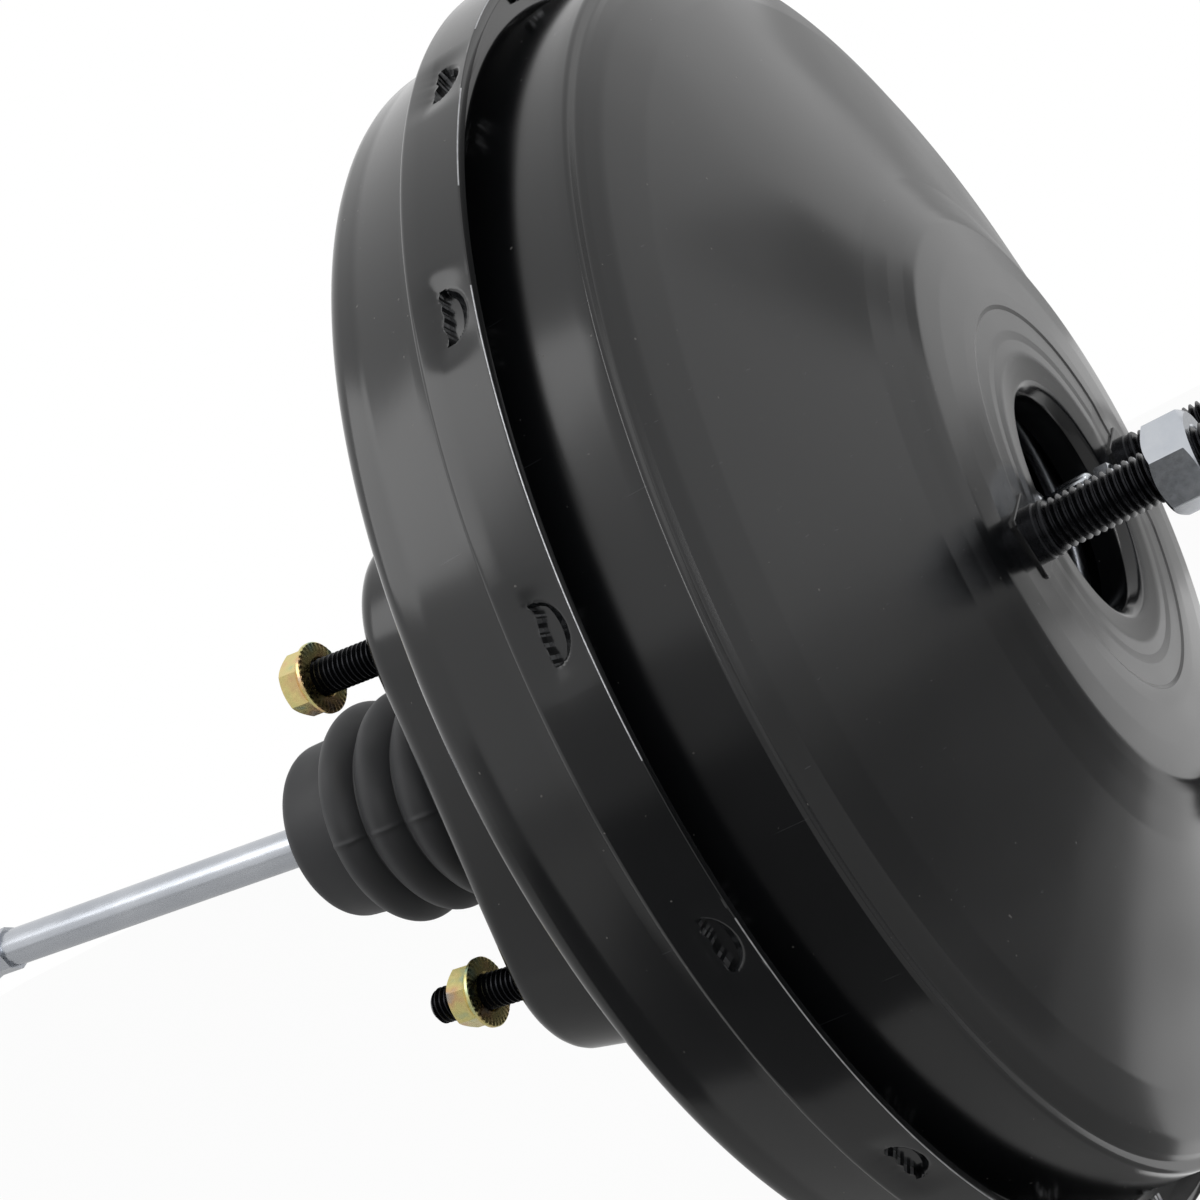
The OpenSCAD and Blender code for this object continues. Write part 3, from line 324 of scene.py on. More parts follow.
# %% Shell paint
PAINT_ROUGH, DUST_ROUGH = (0.15, 0.21), 0.3
DUST, HAIRLINE = "#6E6C68", "#4A4A4C"
WAVE_MM, WAVE_DEEP = 40, 0.3
PEEL_MM, PEEL_DEEP = 1.6, 0.002
DUST_MM, HAIRLINE_MM, HAIRLINE_STRETCH = 1.1, 6, (0.12, 1.6, 9.0)
CLOUD_MM = 45


def paint_finish(name, base, lighter):
    """Semi-gloss paint with soft clouds, orange peel, dust specks and hairline scratches."""
    made, tree, shader, place = start(name, base, DUST_ROUGH)
    broad = noise(tree, place, CLOUD_MM, 3)
    peel = noise(tree, place, PEEL_MM, 2)
    waves = noise(tree, place, WAVE_MM, 1)
    # Only the highest peaks of a fine noise are specks, and those of a drawn-out noise scratches.
    specks = span(tree, noise(tree, place, DUST_MM, 1), 0.8, 0.815, 0, 0.6)
    lines = noise(tree, place, HAIRLINE_MM, 2, HAIRLINE_STRETCH)
    scratch = span(tree, lines, 0.745, 0.76, 0, 0.4)
    colour = mixed(tree, broad, base, lighter)
    colour = mixed(tree, specks, colour, DUST)
    tree.links.new(mixed(tree, scratch, colour, HAIRLINE), shader.inputs["Base Color"])
    worn = span(tree, broad, 0.35, 0.65, *PAINT_ROUGH)
    dusty = add(tree, "ShaderNodeMath", {"operation": "MULTIPLY_ADD", 1: DUST_ROUGH},
                {0: specks, 2: worn})
    tree.links.new(dusty.outputs[0], shader.inputs["Roughness"])
    soft = relief(tree, shader, waves, WAVE_DEEP)
    relief(tree, shader, peel, PEEL_DEEP, soft)
    return made


shell_paint = paint_finish("shell_paint", "#0A0B0C", "#101113")
print("shell paint ready")

# %% [markdown]
# ### Bare and plated steel
# Torn edges show bare steel. The studs carry a thin black oxide, the flange nuts yellow zinc
# with its rainbow of passivation, the plain nuts and the rods clear zinc, and the springs a
# drawn surface with a fine grain.

# %% Metal finishes
def metal_finish(name, colours, rough, patch, grain, deep, metal=1.0, stretch=None):
    """Metal with patches of two colours and a grain, all sizes in mm, between two roughnesses."""
    made, tree, shader, place = start(name, colours[0], rough[0], metal)
    patches = noise(tree, place, patch, 3)
    grains = noise(tree, place, grain, 3, stretch)
    tree.links.new(mixed(tree, patches, *colours), shader.inputs["Base Color"])
    tree.links.new(span(tree, grains, *MIDDLE, *rough), shader.inputs["Roughness"])
    relief(tree, shader, grains, deep)
    return made


# Steel sheet where it broke: bright, uneven and rough.
bare_steel = metal_finish("bare_steel_edge", ("#C4C5C7", "#77787B"), (0.28, 0.5), 1.2, 0.5, 0.05)
# Rolled studs and punched plates with black oxide and a film of oil.
black_oxide = metal_finish("black_oxide", ("#141517", "#222327"), (0.2, 0.36), 4, 0.6, 0.006, 0.8)
# Clear zinc on the nuts, the output rod and its screw: nearly a mirror.
bright_zinc = metal_finish("bright_zinc", ("#C9CCD0", "#B4B9C1"), (0.16, 0.24), 5, 1.5, 0.002)
# The turned air valve, zinc with a slight yellow cast.
pale_zinc = metal_finish("pale_zinc", ("#D2CFC6", "#A8A498"), (0.2, 0.36), 4, 0.8, 0.008)
# The input rod, drawn and zinc plated: its grain runs along it.
drawn_rod = metal_finish("drawn_rod", ("#C2C5CA", "#A2A6AD"), (0.2, 0.34), 18, 0.5, 0.006, 1.0,
                         (0.06, 1, 1))
# Hard-drawn spring wire, darker than the plated pieces.
spring_wire = metal_finish("spring_wire", ("#8E9196", "#6C6E73"), (0.3, 0.45), 5, 0.6, 0.006)
# Small stampings with dull zinc.
stamped_zinc = metal_finish("stamped_zinc", ("#A9ACB2", "#85888E"), (0.26, 0.42), 9, 0.9, 0.01)
# The plate that the diaphragm lies on, plain pressed steel.
pan_steel = metal_finish("pan_steel", ("#9A9CA0", "#7C7E83"), (0.3, 0.48), 22, 1.4, 0.012)


def rainbow_finish(name):
    """Yellow zinc: gold with patches that drift to green, blue and rose."""
    made, tree, shader, place = start(name, "#CFC081", 0.24, 1.0)
    film = noise(tree, place, 7, 2, rough=0.6)
    ramp = add(tree, "ShaderNodeValToRGB", None, {"Fac": film})
    bands = [(0.30, "#9DB49A"), (0.42, "#CFC787"), (0.52, "#D9C688"), (0.62, "#D6B284"),
             (0.72, "#B4AFA6")]
    stops = ramp.color_ramp.elements
    for stop, (spot, colour) in zip(stops, (bands[0], bands[-1])):
        stop.position = spot
        stop.color = linear(colour)
    for spot, colour in bands[1:-1]:
        stops.new(spot).color = linear(colour)
    tree.links.new(ramp.outputs["Color"], shader.inputs["Base Color"])
    grain = noise(tree, place, 0.8, 2)
    tree.links.new(span(tree, grain, *MIDDLE, 0.2, 0.36), shader.inputs["Roughness"])
    relief(tree, shader, grain, 0.006)
    return made


yellow_zinc = rainbow_finish("yellow_zinc")
print("metal finishes ready")

# %% [markdown]
# ### Rubber, moulded plastic and foam
# The boot is a matt black rubber with a bloom of grey, the seals are the same rubber with less
# bloom, the valve body is a filled black resin, the guide ring an ivory plastic, and the air
# filter an open grey foam.

# %% Soft and moulded finishes
def soft_finish(name, colours, rough, patch, grain, deep, sheen=0.0):
    """Rubber, resin or foam: patches of two colours and a fine relief, all sizes in mm."""
    made, tree, shader, place = start(name, colours[0], rough[0])
    patches = noise(tree, place, patch, 4)
    grains = noise(tree, place, grain, 3)
    tree.links.new(mixed(tree, patches, *colours), shader.inputs["Base Color"])
    tree.links.new(span(tree, patches, *MIDDLE, *rough), shader.inputs["Roughness"])
    shader.inputs["Sheen Weight"].default_value = sheen
    relief(tree, shader, grains, deep)
    return made


# The boot's rubber, with a faint grey bloom.
boot_rubber = soft_finish("boot_rubber", ("#17181A", "#222326"), (0.5, 0.66), 12, 0.7, 0.012, 0.05)
# Seals, smoother and blacker.
seal_rubber = soft_finish("seal_rubber", ("#151515", "#1E1E1F"), (0.42, 0.58), 6, 0.6, 0.006)
# The diaphragm's sheet, with the cloth in it just showing.
sheet_rubber = soft_finish("sheet_rubber", ("#1B1B1C", "#262627"), (0.5, 0.65), 16, 0.5, 0.01)
# Glass-filled phenolic resin.
filled_resin = soft_finish("filled_resin", ("#141416", "#1D1D20"), (0.36, 0.52), 9, 0.5, 0.006)
# The guide ring, unpigmented nylon.
ivory_resin = soft_finish("ivory_resin", ("#D9D3BF", "#CBC3AB"), (0.38, 0.5), 8, 0.6, 0.004)
# Open-cell foam: nearly no shine, deep cells.
grey_foam = soft_finish("grey_foam", ("#4B4B48", "#2C2C2A"), (0.85, 0.95), 1.2, 0.9, 0.35)
print("soft finishes ready")

# %% [markdown]
# ## The rear shell
# Its outline runs from the neck over the inclined pad, round the pad's edge, down its spreading
# wall, over a cone with a raised bead, and round a tight corner to the side wall. The pad is a
# rounded rectangle, so the outline differs from angle to angle.

# %% Rear shell pressing
def pad_reach(t, inset):
    """Distance from the axis to the pad's rounded outline in one direction."""
    w, h, corner = PAD_W / 2 - inset, PAD_H / 2 - inset, PAD_CORNER - inset
    c, s = abs(math.cos(t)), abs(math.sin(t))
    reach = min(w / c if c > 1e-9 else 1e9, h / s if s > 1e-9 else 1e9)
    if reach * c > w - corner and reach * s > h - corner:
        cy, cz = w - corner, h - corner
        along = c * cy + s * cz
        reach = along + math.sqrt(max(along ** 2 - cy ** 2 - cz ** 2 + corner ** 2, 0))
    return reach


def tilted(depth, reach, t):
    """Point of the inclined pad in the booster's own frame."""
    y, z = reach * math.cos(t), reach * math.sin(t)
    c, s = math.cos(PAD_TILT), math.sin(PAD_TILT)
    return np.array([depth * c + z * s, y, -depth * s + z * c])


# The cone passes through this point at this slope. Measured along the axis, its sheet is thicker
# by a factor.
CONE_X, CONE_R, CONE_SLOPE = 65.262, 129.954, math.tan(math.radians(17))
ALONG_AXIS = 1.05
# The wall runs into the cone over this much depth and radius, and its points then turn back to
# even angles over this radial distance.
FILLET_DEPTH, FILLET_REACH, UNWIND = 7, 6.5, 14
BEAD_RISE = 1.6


def cone_x(r):
    """Axial position of the rear cone at a radius."""
    return CONE_X - (CONE_R - r) * CONE_SLOPE


def rear_outline(t, skin):
    """Outer face (skin 0) or inner face (skin 1) of the rear shell at one angle, as 3-D points."""
    off = skin * REAR_T
    points = []
    start_x = NECK_R * math.sin(t) * math.tan(PAD_TILT)
    if skin == 0:
        points += [(NECK_BACK + 0.2, NECK_BORE), (NECK_BACK, NECK_BORE + 0.3),
                   (NECK_BACK, NECK_R - 0.3), (NECK_BACK + 0.3, NECK_R),
                   (start_x - 1.4, NECK_R), (start_x - 0.5, NECK_R + 0.4)]
    else:
        points += [(NECK_FRONT, NECK_BORE), (NECK_FRONT, NECK_R), (start_x + 3.4, NECK_R)]
    line = [np.array([x, r * math.cos(t), r * math.sin(t)]) for x, r in points]
    for reach in np.linspace(NECK_R + 1.6, pad_reach(t, PAD_EDGE), 14):
        line.append(tilted(off, reach, t))
    for a in np.radians(np.linspace(0, 90, 8))[1:]:
        inset = off + (PAD_EDGE - off) * (1 - math.sin(a))
        line.append(tilted(off + (PAD_EDGE - off) * (1 - math.cos(a)), pad_reach(t, inset), t))

    def wall(depth):
        """Point of the pad's wall at this depth below the pad."""
        return tilted(depth, pad_reach(t, off - PAD_SPREAD * (depth - PAD_EDGE)), t)

    # The depth at which the wall meets the cone is found by halving.
    foot, beyond = PAD_EDGE, 75.0
    for _ in range(30):
        middle = (foot + beyond) / 2
        p = wall(middle)
        if p[0] < cone_x(math.hypot(p[1], p[2])) + off * ALONG_AXIS:
            foot = middle
        else:
            beyond = middle
    for depth in np.linspace(PAD_EDGE, foot - FILLET_DEPTH, 9)[1:]:
        line.append(wall(depth))
    corner = wall(foot)
    foot_r = math.hypot(corner[1], corner[2])
    around = t + (math.atan2(corner[2], corner[1]) - t + math.pi) % (2 * math.pi) - math.pi
    out_r = foot_r + FILLET_REACH
    end = np.array([cone_x(out_r) + off * ALONG_AXIS,
                    out_r * math.cos(around), out_r * math.sin(around)])
    start_point = wall(foot - FILLET_DEPTH)
    for k in np.linspace(0, 1, 9)[1:]:
        line.append((1 - k) ** 2 * start_point + 2 * k * (1 - k) * corner + k * k * end)
    cone = [(cone_x(out_r), out_r, 0), (cone_x(99), 99, 6), (cone_x(103.5) - BEAD_RISE, 103.5, 3),
            (cone_x(112.5) - BEAD_RISE, 112.5, 3), (cone_x(117), 117, 6), (64.0, 134.2, 6.5),
            (71, 134.2, 14), (SEAM_X, SEAM_R, 0)]
    face = bent(cone if skin == 0 else beside(cone, -REAR_T), 6)
    first = face[0] + (face[1] - face[0]) * np.linspace(0, 1, 13)[1:, None]
    for x, r in np.concatenate([first, filled(face[1:], 4.0)[1:]]):
        blend = smooth((r - out_r) / UNWIND)
        a = around + (t - around) * blend
        line.append(np.array([x, r * math.cos(a), r * math.sin(a)]))
    return np.array(line)


def rear_shell_pressing():
    """The whole rear shell up to the band, both faces of its sheet."""
    rings = []
    for t in even(480):
        rings.append(np.concatenate([rear_outline(t, 0), rear_outline(t, 1)[::-1]]))
    made = to_mesh("rear_shell_pressing", rings, sharp=50)
    made.data.materials.append(shell_paint)
    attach(made, "shell")
    return made


rear_shell = rear_shell_pressing()
print("rear shell pressing", len(rear_shell.data.polygons), "faces")

# %% [markdown]
# ## The crimped rim band
# The rear shell's edge wraps the front shell's flange. Tabs are lanced round the band and
# punched in: each leaves a D-shaped pit whose curved side slopes down from the front and whose
# straight side is a torn edge of bare steel.

# %% Rim band
# The torn edge of each tab, how many there are, and the angle of one of them.
TAB_X, TAB_COUNT, TAB_PHASE = 92.3, 16, math.radians(124.5)
TAB_STEP = 2 * math.pi / TAB_COUNT
# Half the width of a tab along the rim, its depth, and its reach towards the front edge.
TAB_HALF, TAB_DEEP, TAB_REACH = 5.3, 3.3, 5.0
# The punch also drew the band round the tab in, by the first value. The sheet broke within the
# second distance of a straight line, and its broken end is uneven in depth by the third.
SINK, TORN_ALONG, TORN_DEEP = 0.85, 0.55, 0.35
# Round each tab the band's mesh is fine out to this distance.
TAB_ROOM = 10.5


def along_rim(t):
    """Number of the nearest tab, and the distance along the rim from its middle."""
    k = round((t - TAB_PHASE) / TAB_STEP)
    return k, (t - TAB_PHASE - k * TAB_STEP) * RIM_R


def band_angles():
    """Angles that are close together at the tabs and wider between them."""
    near = np.linspace(-TAB_ROOM, TAB_ROOM, 61) / RIM_R
    between = np.linspace(TAB_ROOM / RIM_R, TAB_STEP - TAB_ROOM / RIM_R, 14)[1:-1]
    one = np.concatenate([near, between])
    return np.sort(np.concatenate([(one + TAB_PHASE + k * TAB_STEP) for k in range(TAB_COUNT)]))


def ragged(values, seed, height):
    """A torn line: random heights at even knots, with straight lines between them."""
    own = np.random.default_rng(seed)
    knots = np.arange(-12, 12.4, 1.15)
    return np.interp(values, knots, own.uniform(-height, height, len(knots)))


# The face of the band is three runs of points: the plain band behind the tabs (kind 0), the
# broken edge itself (kinds 1 to 6, each with its own depth), and the tab's slope (kind 7), which
# ends where the band's front lip starts.
LIP_X = RIM_X - 0.35
band_line = bent([(SEAM_X, SEAM_R, 0), (BAND_BACK_X, BAND_FOOT_R, 1.5),
                  (BAND_BACK_X, RIM_R + BAND_FLARE, 1.3), (TAB_X - 1.6, RIM_R + 0.35, 0)], 6)
broken_x = TAB_X + np.array([0, 0.1, 0.16, 0.3, 0.95, 1.05, 1.2])
flat_x = np.concatenate([np.linspace(TAB_X - 1.6, TAB_X - 0.2, 5), broken_x,
                         np.linspace(TAB_X + 1.5, LIP_X, 14)])
flat_kind = np.concatenate([np.zeros(5), [1, 1, 2, 3, 4, 5, 6], np.full(14, 7)])


def pit(x, v, kind, seed):
    """How far the band's face is pushed in at an axial place x and a place v along the rim."""
    wide = math.exp(-(v / 7.4) ** 4) * np.exp(-((x - TAB_X) / np.where(x < TAB_X, 2.4, 5.4)) ** 2)
    sink = SINK * wide
    if abs(v) >= TAB_HALF:
        return sink
    arc = TAB_REACH * math.sqrt(1 - (v / TAB_HALF) ** 2)
    along = np.clip((x - TAB_X) / max(arc, 0.05), 0, 1)
    edge = smooth((TAB_HALF - abs(v)) / 1.1)
    slope = (TAB_DEEP - sink) * (1 - along ** 1.5) * edge
    tip = ragged(v, seed + 50, TORN_DEEP)
    # The plain band, the burr, the broken face, the gap behind the tab, and the tab's torn end.
    depths = {0: 0, 1: tip * 0.5 - 0.12, 2: REAR_T - 0.3, 3: TAB_DEEP + 1.0, 4: TAB_DEEP + 0.9,
              5: TAB_DEEP - 0.9 + tip, 6: TAB_DEEP - 0.9 + tip}
    for which, depth in depths.items():
        slope = np.where(kind == which, depth * edge, slope)
    return sink + slope


def rim_band():
    """The band with its tabs: outer face, front lip and inner face as one closed outline."""
    rings = []
    lip = bent([(LIP_X, RIM_R, 0), (RIM_X, RIM_R, 0.3), (RIM_X, RIM_R - REAR_T, 0.3),
                (LIP_X, RIM_R - REAR_T, 0)], 3)
    inner = bent([(RIM_X - 0.5, RIM_R - REAR_T, 0), (BAND_BACK_X + REAR_T, RIM_R - REAR_T, 0.4),
                  (BAND_BACK_X + REAR_T, BAND_FOOT_R - REAR_T, 2.5), (SEAM_X, SEAM_R - REAR_T, 0)], 4)
    for t in band_angles():
        k, v = along_rim(t)
        torn = ragged(v, k * 3 + 1, TORN_ALONG) * smooth((TAB_HALF + 0.6 - abs(v)) / 0.6)
        x = flat_x + torn * np.exp(-((flat_x - TAB_X - 0.5) / 1.4) ** 2)
        base = RIM_R + BAND_FLARE * np.clip((RIM_X - x) / (RIM_X - BAND_BACK_X), 0, 1)
        r = base - pit(flat_x, v, flat_kind, k * 3 + 2)
        outline = np.concatenate([band_line[:-1], np.stack([x, r], axis=1), lip[1:-1], inner])
        rings.append(spun(lambda t: outline, [t])[0])
    made = to_mesh("rim_band", rings, sharp=38)
    made.data.materials.append(shell_paint)
    made.data.materials.append(bare_steel)
    return made


def bare_the_torn_edges(band):
    """Gives the broken faces of each tab, and the worn front corner, the bare steel finish.

    Sums of two sines pick the places where the steel is bare, the same ones on each run.
    """
    for face in band.data.polygons:
        x, y, z = (c / MM for c in face.center)
        r = math.hypot(y, z)
        t = math.atan2(z, y)
        v = along_rim(t)[1]
        in_tab = abs(v) < TAB_HALF - 0.5 and abs(x - TAB_X - 0.5) < 1.3
        steep = abs(face.normal.x) > 0.75
        bright = math.sin(5.3 * v + 9 * t) + math.sin(2.9 * v + 31 * t) > 0.1
        if in_tab and steep and bright:
            face.material_index = 1
        at_corner = x > RIM_X - 0.2 and r > RIM_R - 0.5
        slanted = face.normal.x > 0.25 and abs(face.normal.x) < 0.98
        worn = math.sin(7 * t + 1) + math.sin(17 * t) > -0.7
        if at_corner and slanted and worn:
            face.material_index = 1


band = rim_band()
bare_the_torn_edges(band)
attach(band, "shell")
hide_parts("rear_shell")
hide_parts("rear_shell")
print("rim band", len(band.data.polygons), "faces,",
      sum(f.material_index for f in band.data.polygons), "of bare steel")

# %% [markdown]
# ## The front shell
# From the flange under the band the sheet rises as a short wall to a double ridge, climbs over a
# shallow dome to the crease round the hub, and ends in the turned-in lip of the bore. The hub has
# a faint step in it, and the press drew it in a little round each stud.

# %% Front shell pressing
# The port of the check valve: its place, its flat face, and the radii of its boss and hole.
PORT_R, PORT_ANGLE, PORT_X, PORT_BOSS, PORT_HOLE = 95.0, math.radians(-60), 134.6, 15.2, 9.0
BOSS_FADE, BOSS_BLEND = 4.6, 5.0
# The two studs of the master cylinder lie at these places along Y.
NEAR_Y, FAR_Y = -41.2, 41.2
STUD_HOLE, DIMPLE_R, DIMPLE_FADE, DIMPLE_DEEP = 4.8, 15.5, 6.0, 0.25
# Corners of the outer face from the flange to the bore: axial place, radius, bend radius.
front_line = [(92.7, 138.2, 0), (92.7, 132.1, 1.6), (114.1, 131.0, 0.9), (114.3, 128.7, 0.9),
              (115.4, 127.9, 0.9), (117.3, 125.6, 5), (120.4, 117.4, 12), (131.4, 79.0, 14),
              (133.6, 71.5, 10), (135.5, 66.2, 6), (136.8, 62.8, 1.6), (137.7, 60.2, 6),
              (138.45, 53.0, 12), (138.9, 45.0, 6), (139.0, 41.4, 0.4), (138.75, 40.6, 0.4),
              (138.8, 36.0, 3), (138.72, 34.0, 2), (138.8, 31.0, 14), (138.1, 25.0, 2.5),
              (135.9, 23.2, 1.6), (130.0, 23.2, 0)]


def front_shell_pressing():
    """The front shell with its boss, dimples and three holes."""
    outer = filled(bent(front_line, 5), 2.6)
    inner = filled(bent(beside(front_line, -FRONT_T), 4), 3.2)[::-1]
    outline = np.concatenate([outer, inner])
    is_inner = np.arange(len(outline)) >= len(outer)
    port = np.array([PORT_R * math.cos(PORT_ANGLE), PORT_R * math.sin(PORT_ANGLE)])
    rings = []
    for t in even(600):
        x, r = outline[:, 0].copy(), outline[:, 1]
        y, z = r * math.cos(t), r * math.sin(t)
        near = np.hypot(y - port[0], z - port[1])
        rise = smooth((PORT_BOSS + BOSS_FADE - near) / BOSS_BLEND)
        on_dome = (x > 115) & (r > 64)
        x = np.where(on_dome, x + rise * (PORT_X - is_inner * FRONT_T - x), x)
        for stud_y in (NEAR_Y, FAR_Y):
            fade = smooth((DIMPLE_R - np.hypot(y - stud_y, z)) / DIMPLE_FADE)
            x = x - DIMPLE_DEEP * (x > 134) * fade
        rings.append(np.stack([x, y, z], axis=1))
    made = to_mesh("front_shell_pressing", rings, sharp=50)
    work = bmesh.new()
    work.from_mesh(made.data)
    # Each hole: its place, its radius, and the axial place from which faces are taken out.
    holes = [(port[0], port[1], PORT_HOLE, 128.0), (FAR_Y, 0, STUD_HOLE, 134.0),
             (NEAR_Y, 0, STUD_HOLE, 134.0)]
    gone = [f for f in work.faces for c in [f.calc_center_median() / MM]
            for hy, hz, hr, hx in holes if c.x > hx and math.hypot(c.y - hy, c.z - hz) < hr]
    bmesh.ops.delete(work, geom=gone, context="FACES")
    work.to_mesh(made.data)
    work.free()
    made.data.materials.append(shell_paint)
    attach(made, "shell")
    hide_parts("front_shell")
    return made


front_shell = front_shell_pressing()
print("front shell pressing", len(front_shell.data.polygons), "faces")

# %% [markdown]
# ## Threads
# A thread is a ridge wound round the bar. The rows of the mesh follow the helix, so that each
# crest is one clean line, and the ends run out under a small cone as on a rolled screw.

# %% Thread and hexagon helpers
# One turn of a metric thread: share of the pitch, and share of the depth below the crest.
THREAD_SHAPE = [(0.0, 0.0), (0.13, 0.0), (0.285, 0.5), (0.44, 1.0), (0.69, 1.0), (0.845, 0.5)]
# Radius, pitch and depth of the threads, all with the coarse pitch of their size.
M8, M10, M5 = (4.0, 1.25, 0.767), (5.0, 1.5, 0.92), (2.5, 0.8, 0.46)


def threaded(x0, x1, thread, count=48, cone0=0.0, cone1=0.9):
    """Rings of a threaded bar from x0 to x1 with a cone of this height at either end."""
    radius, pitch, deep = thread
    turns = int(math.ceil((x1 - x0) / pitch)) + 2
    rings = []
    for i in range(count + 1):
        t = 2 * math.pi * i / count
        row = [(x0, 0.0)]
        for k in range(turns):
            for share, depth in THREAD_SHAPE:
                x = min(max(x0 + pitch * (k - 1 + share + i / count), x0), x1)
                r = radius - deep * depth
                if cone1:
                    r = min(r, radius - cone1 + (x1 - x))
                if cone0:
                    r = min(r, radius - cone0 + (x - x0))
                row.append((x, r))
        row.append((x1, 0.0))
        p = np.array(row)
        rings.append(np.stack([p[:, 0], p[:, 1] * math.cos(t), p[:, 1] * math.sin(t)], axis=1))
    return np.array(rings)


# A hexagon's corners are chamfered by this much along the axis for each mm of radius.
CHAMFER = 0.62


def hexagon_reach(t, across, turn=0.0):
    """Radius of a hexagon with this width across its flats, in one direction."""
    return across / 2 / math.cos((t - turn + math.pi / 6) % (math.pi / 3) - math.pi / 6)


def moved(rings, x=0.0, y=0.0, z=0.0, tilt=0.0):
    """The same rings at another place, inclined with the pad if asked."""
    p = np.asarray(rings, float) + np.array([x, y, z])
    c, s = math.cos(tilt), math.sin(tilt)
    turn = np.array([[c, 0, s], [0, 1, 0], [-s, 0, c]])
    return p @ turn.T


def part(rings, x=0.0, y=0.0, z=0.0, tilt=0.0, **kind):
    """A mesh at its place that will be joined with others."""
    return to_mesh("part", moved(rings, x, y, z, tilt), **kind)


def joined(name, parts, body, finish):
    """Makes one piece of several meshes and lets it ride on a body."""
    work = bmesh.new()
    for one in parts:
        one.data.transform(one.matrix_world)
        work.from_mesh(one.data)
    mesh = bpy.data.meshes.new(name)
    work.to_mesh(mesh)
    work.free()
    for one in parts:
        bpy.data.objects.remove(one)
    made = bpy.data.objects.new(name, mesh)
    bpy.context.collection.objects.link(made)
    mesh.materials.append(finish)
    if body:
        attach(made, body)
    return made


print("thread helpers ready")

# %% [markdown]
# ## Studs and nuts
# Four M8 studs hold the booster to the firewall, with flange nuts left part-way on. Two M10
# studs hold the master cylinder: each has a square collar that bites into the hub, and a nut.

# %% Firewall studs and nuts
# How far out each nut was left: the lower near one closer to the pad than the others.
LOW_NUT, OUT_NUT = 11.5, 17.5
HALF_SQUARE = 37.5
rear_places = [(y, z) for y in (-HALF_SQUARE, HALF_SQUARE) for z in (-HALF_SQUARE, HALF_SQUARE)]
REAR_STUD_END, SHANK_R, HEAD_R = -25.0, 4.6, 8
FLANGE_NUT_AF, FLANGE_NUT_H, TEETH, TOOTH_DEEP = 12.0, 7.0, 36, 0.16


def disc_part(x0, x1, r, chamfer=0.3, count=64):
    """A short round bar with chamfered ends."""
    p = [(x0, 0), (x0, r - chamfer), (x0 + chamfer, r), (x1 - chamfer, r), (x1, r - chamfer), (x1, 0)]
    return spun(lambda t: p, even(count))


def firewall_studs():
    """Four studs: the thread, the shank in the pad, and the head behind the backing plate."""
    parts = []
    for y, z in rear_places:
        thread = threaded(REAR_STUD_END, 0.6, M8, cone0=1.0, cone1=0)
        parts.append(part(thread, 0, y, z, PAD_TILT, loop=False, merge=None))
        for bar in (disc_part(0.1, 4.4, SHANK_R), disc_part(4.4, 6.8, HEAD_R)):
            parts.append(part(bar, 0, y, z, PAD_TILT, loop=False))
    made = joined("firewall_stud_threads", parts, "shell", black_oxide)
    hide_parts("firewall_studs")
    return made


def flange_nut_rings():
    """A hexagon on a wide cone, with teeth pressed into the face towards the pad."""
    def outline(t):
        """Axial places and radii: bore, teeth, cone, hexagon and top."""
        reach = hexagon_reach(t, FLANGE_NUT_AF)
        tooth = TOOTH_DEEP * abs(((t * TEETH / (2 * math.pi)) % 1) * 2 - 1)
        meet = -1.0 - 1.4 * (7.8 - reach) / 1.8
        top = -FLANGE_NUT_H + max(reach - 5.85, 0) * CHAMFER
        return [(-0.5, 4.05), (0, 4.5), (0, 6.8), (-tooth, 7.2), (-tooth, 7.6), (-0.25, 7.8),
                (-0.9, 7.8), (-1.1, 7.6), (meet, reach + 0.22), (meet - 0.3, reach), (top, reach),
                (-FLANGE_NUT_H, 5.85), (-FLANGE_NUT_H, 4.5), (0.5 - FLANGE_NUT_H, 4.05)]
    return spun(outline, even(240))


def firewall_nuts():
    """Four flange nuts, part-way on their studs."""
    parts = []
    for y, z in rear_places:
        away = LOW_NUT if y < 0 and z < 0 else OUT_NUT
        parts.append(part(flange_nut_rings(), -away - 0.05, y, z, PAD_TILT, sharp=25))
    made = joined("firewall_flange_nuts", parts, "shell", yellow_zinc)
    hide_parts("firewall_nuts")
    return made


stud_threads = firewall_studs()
flange_nuts = firewall_nuts()
print("firewall studs and nuts", len(stud_threads.data.polygons), len(flange_nuts.data.polygons))

# %% [markdown]
# The master cylinder's studs are longer and thicker. Between hub and thread each has a shank with
# a groove, and its square collar was painted over with the shell. The nuts sit part-way out.

# %% Master cylinder studs and nuts
FRONT_STUD_END = 36.5
# Distance of the nuts from the hub, their height, width across flats, chamfer circle and turn.
NUT_OUT, NUT_H, NUT_AF, NUT_ROUND, NUT_TURN = 25.6, 8.4, 16.0, 7.7, math.radians(11.3)
COLLAR_SIDE, COLLAR_TURN = 13.0, math.radians(17)
# Round parts of a stud: start, end, radius, chamfer. They are the shank, the groove, the shoulder
# under the thread, and the head behind the hub.
FRONT_STUD_BARS = [(-4.5, 2.3, 5.5, 0.3), (2.2, 3.0, 5.2, 0.1), (2.8, 4.0, 5.45, 0.35),
                   (-6.9, -4.5, 8, 0.3)]


def square_collar(x0, x1, side, corner=0.6):
    """A flat square plate standing nearly on its corner, with slightly rounded edges."""
    def outline(t):
        """Axial places and radii at one angle of the square."""
        a = (t - COLLAR_TURN) % (math.pi / 2)
        reach = side / 2 / math.cos(a if a < math.pi / 4 else math.pi / 2 - a)
        reach = min(reach, side / math.sqrt(2) - corner)
        return [(x0, 0), (x0, reach), (x1 - 0.15, reach), (x1, reach - 0.25), (x1, 0)]
    return spun(outline, even(180))


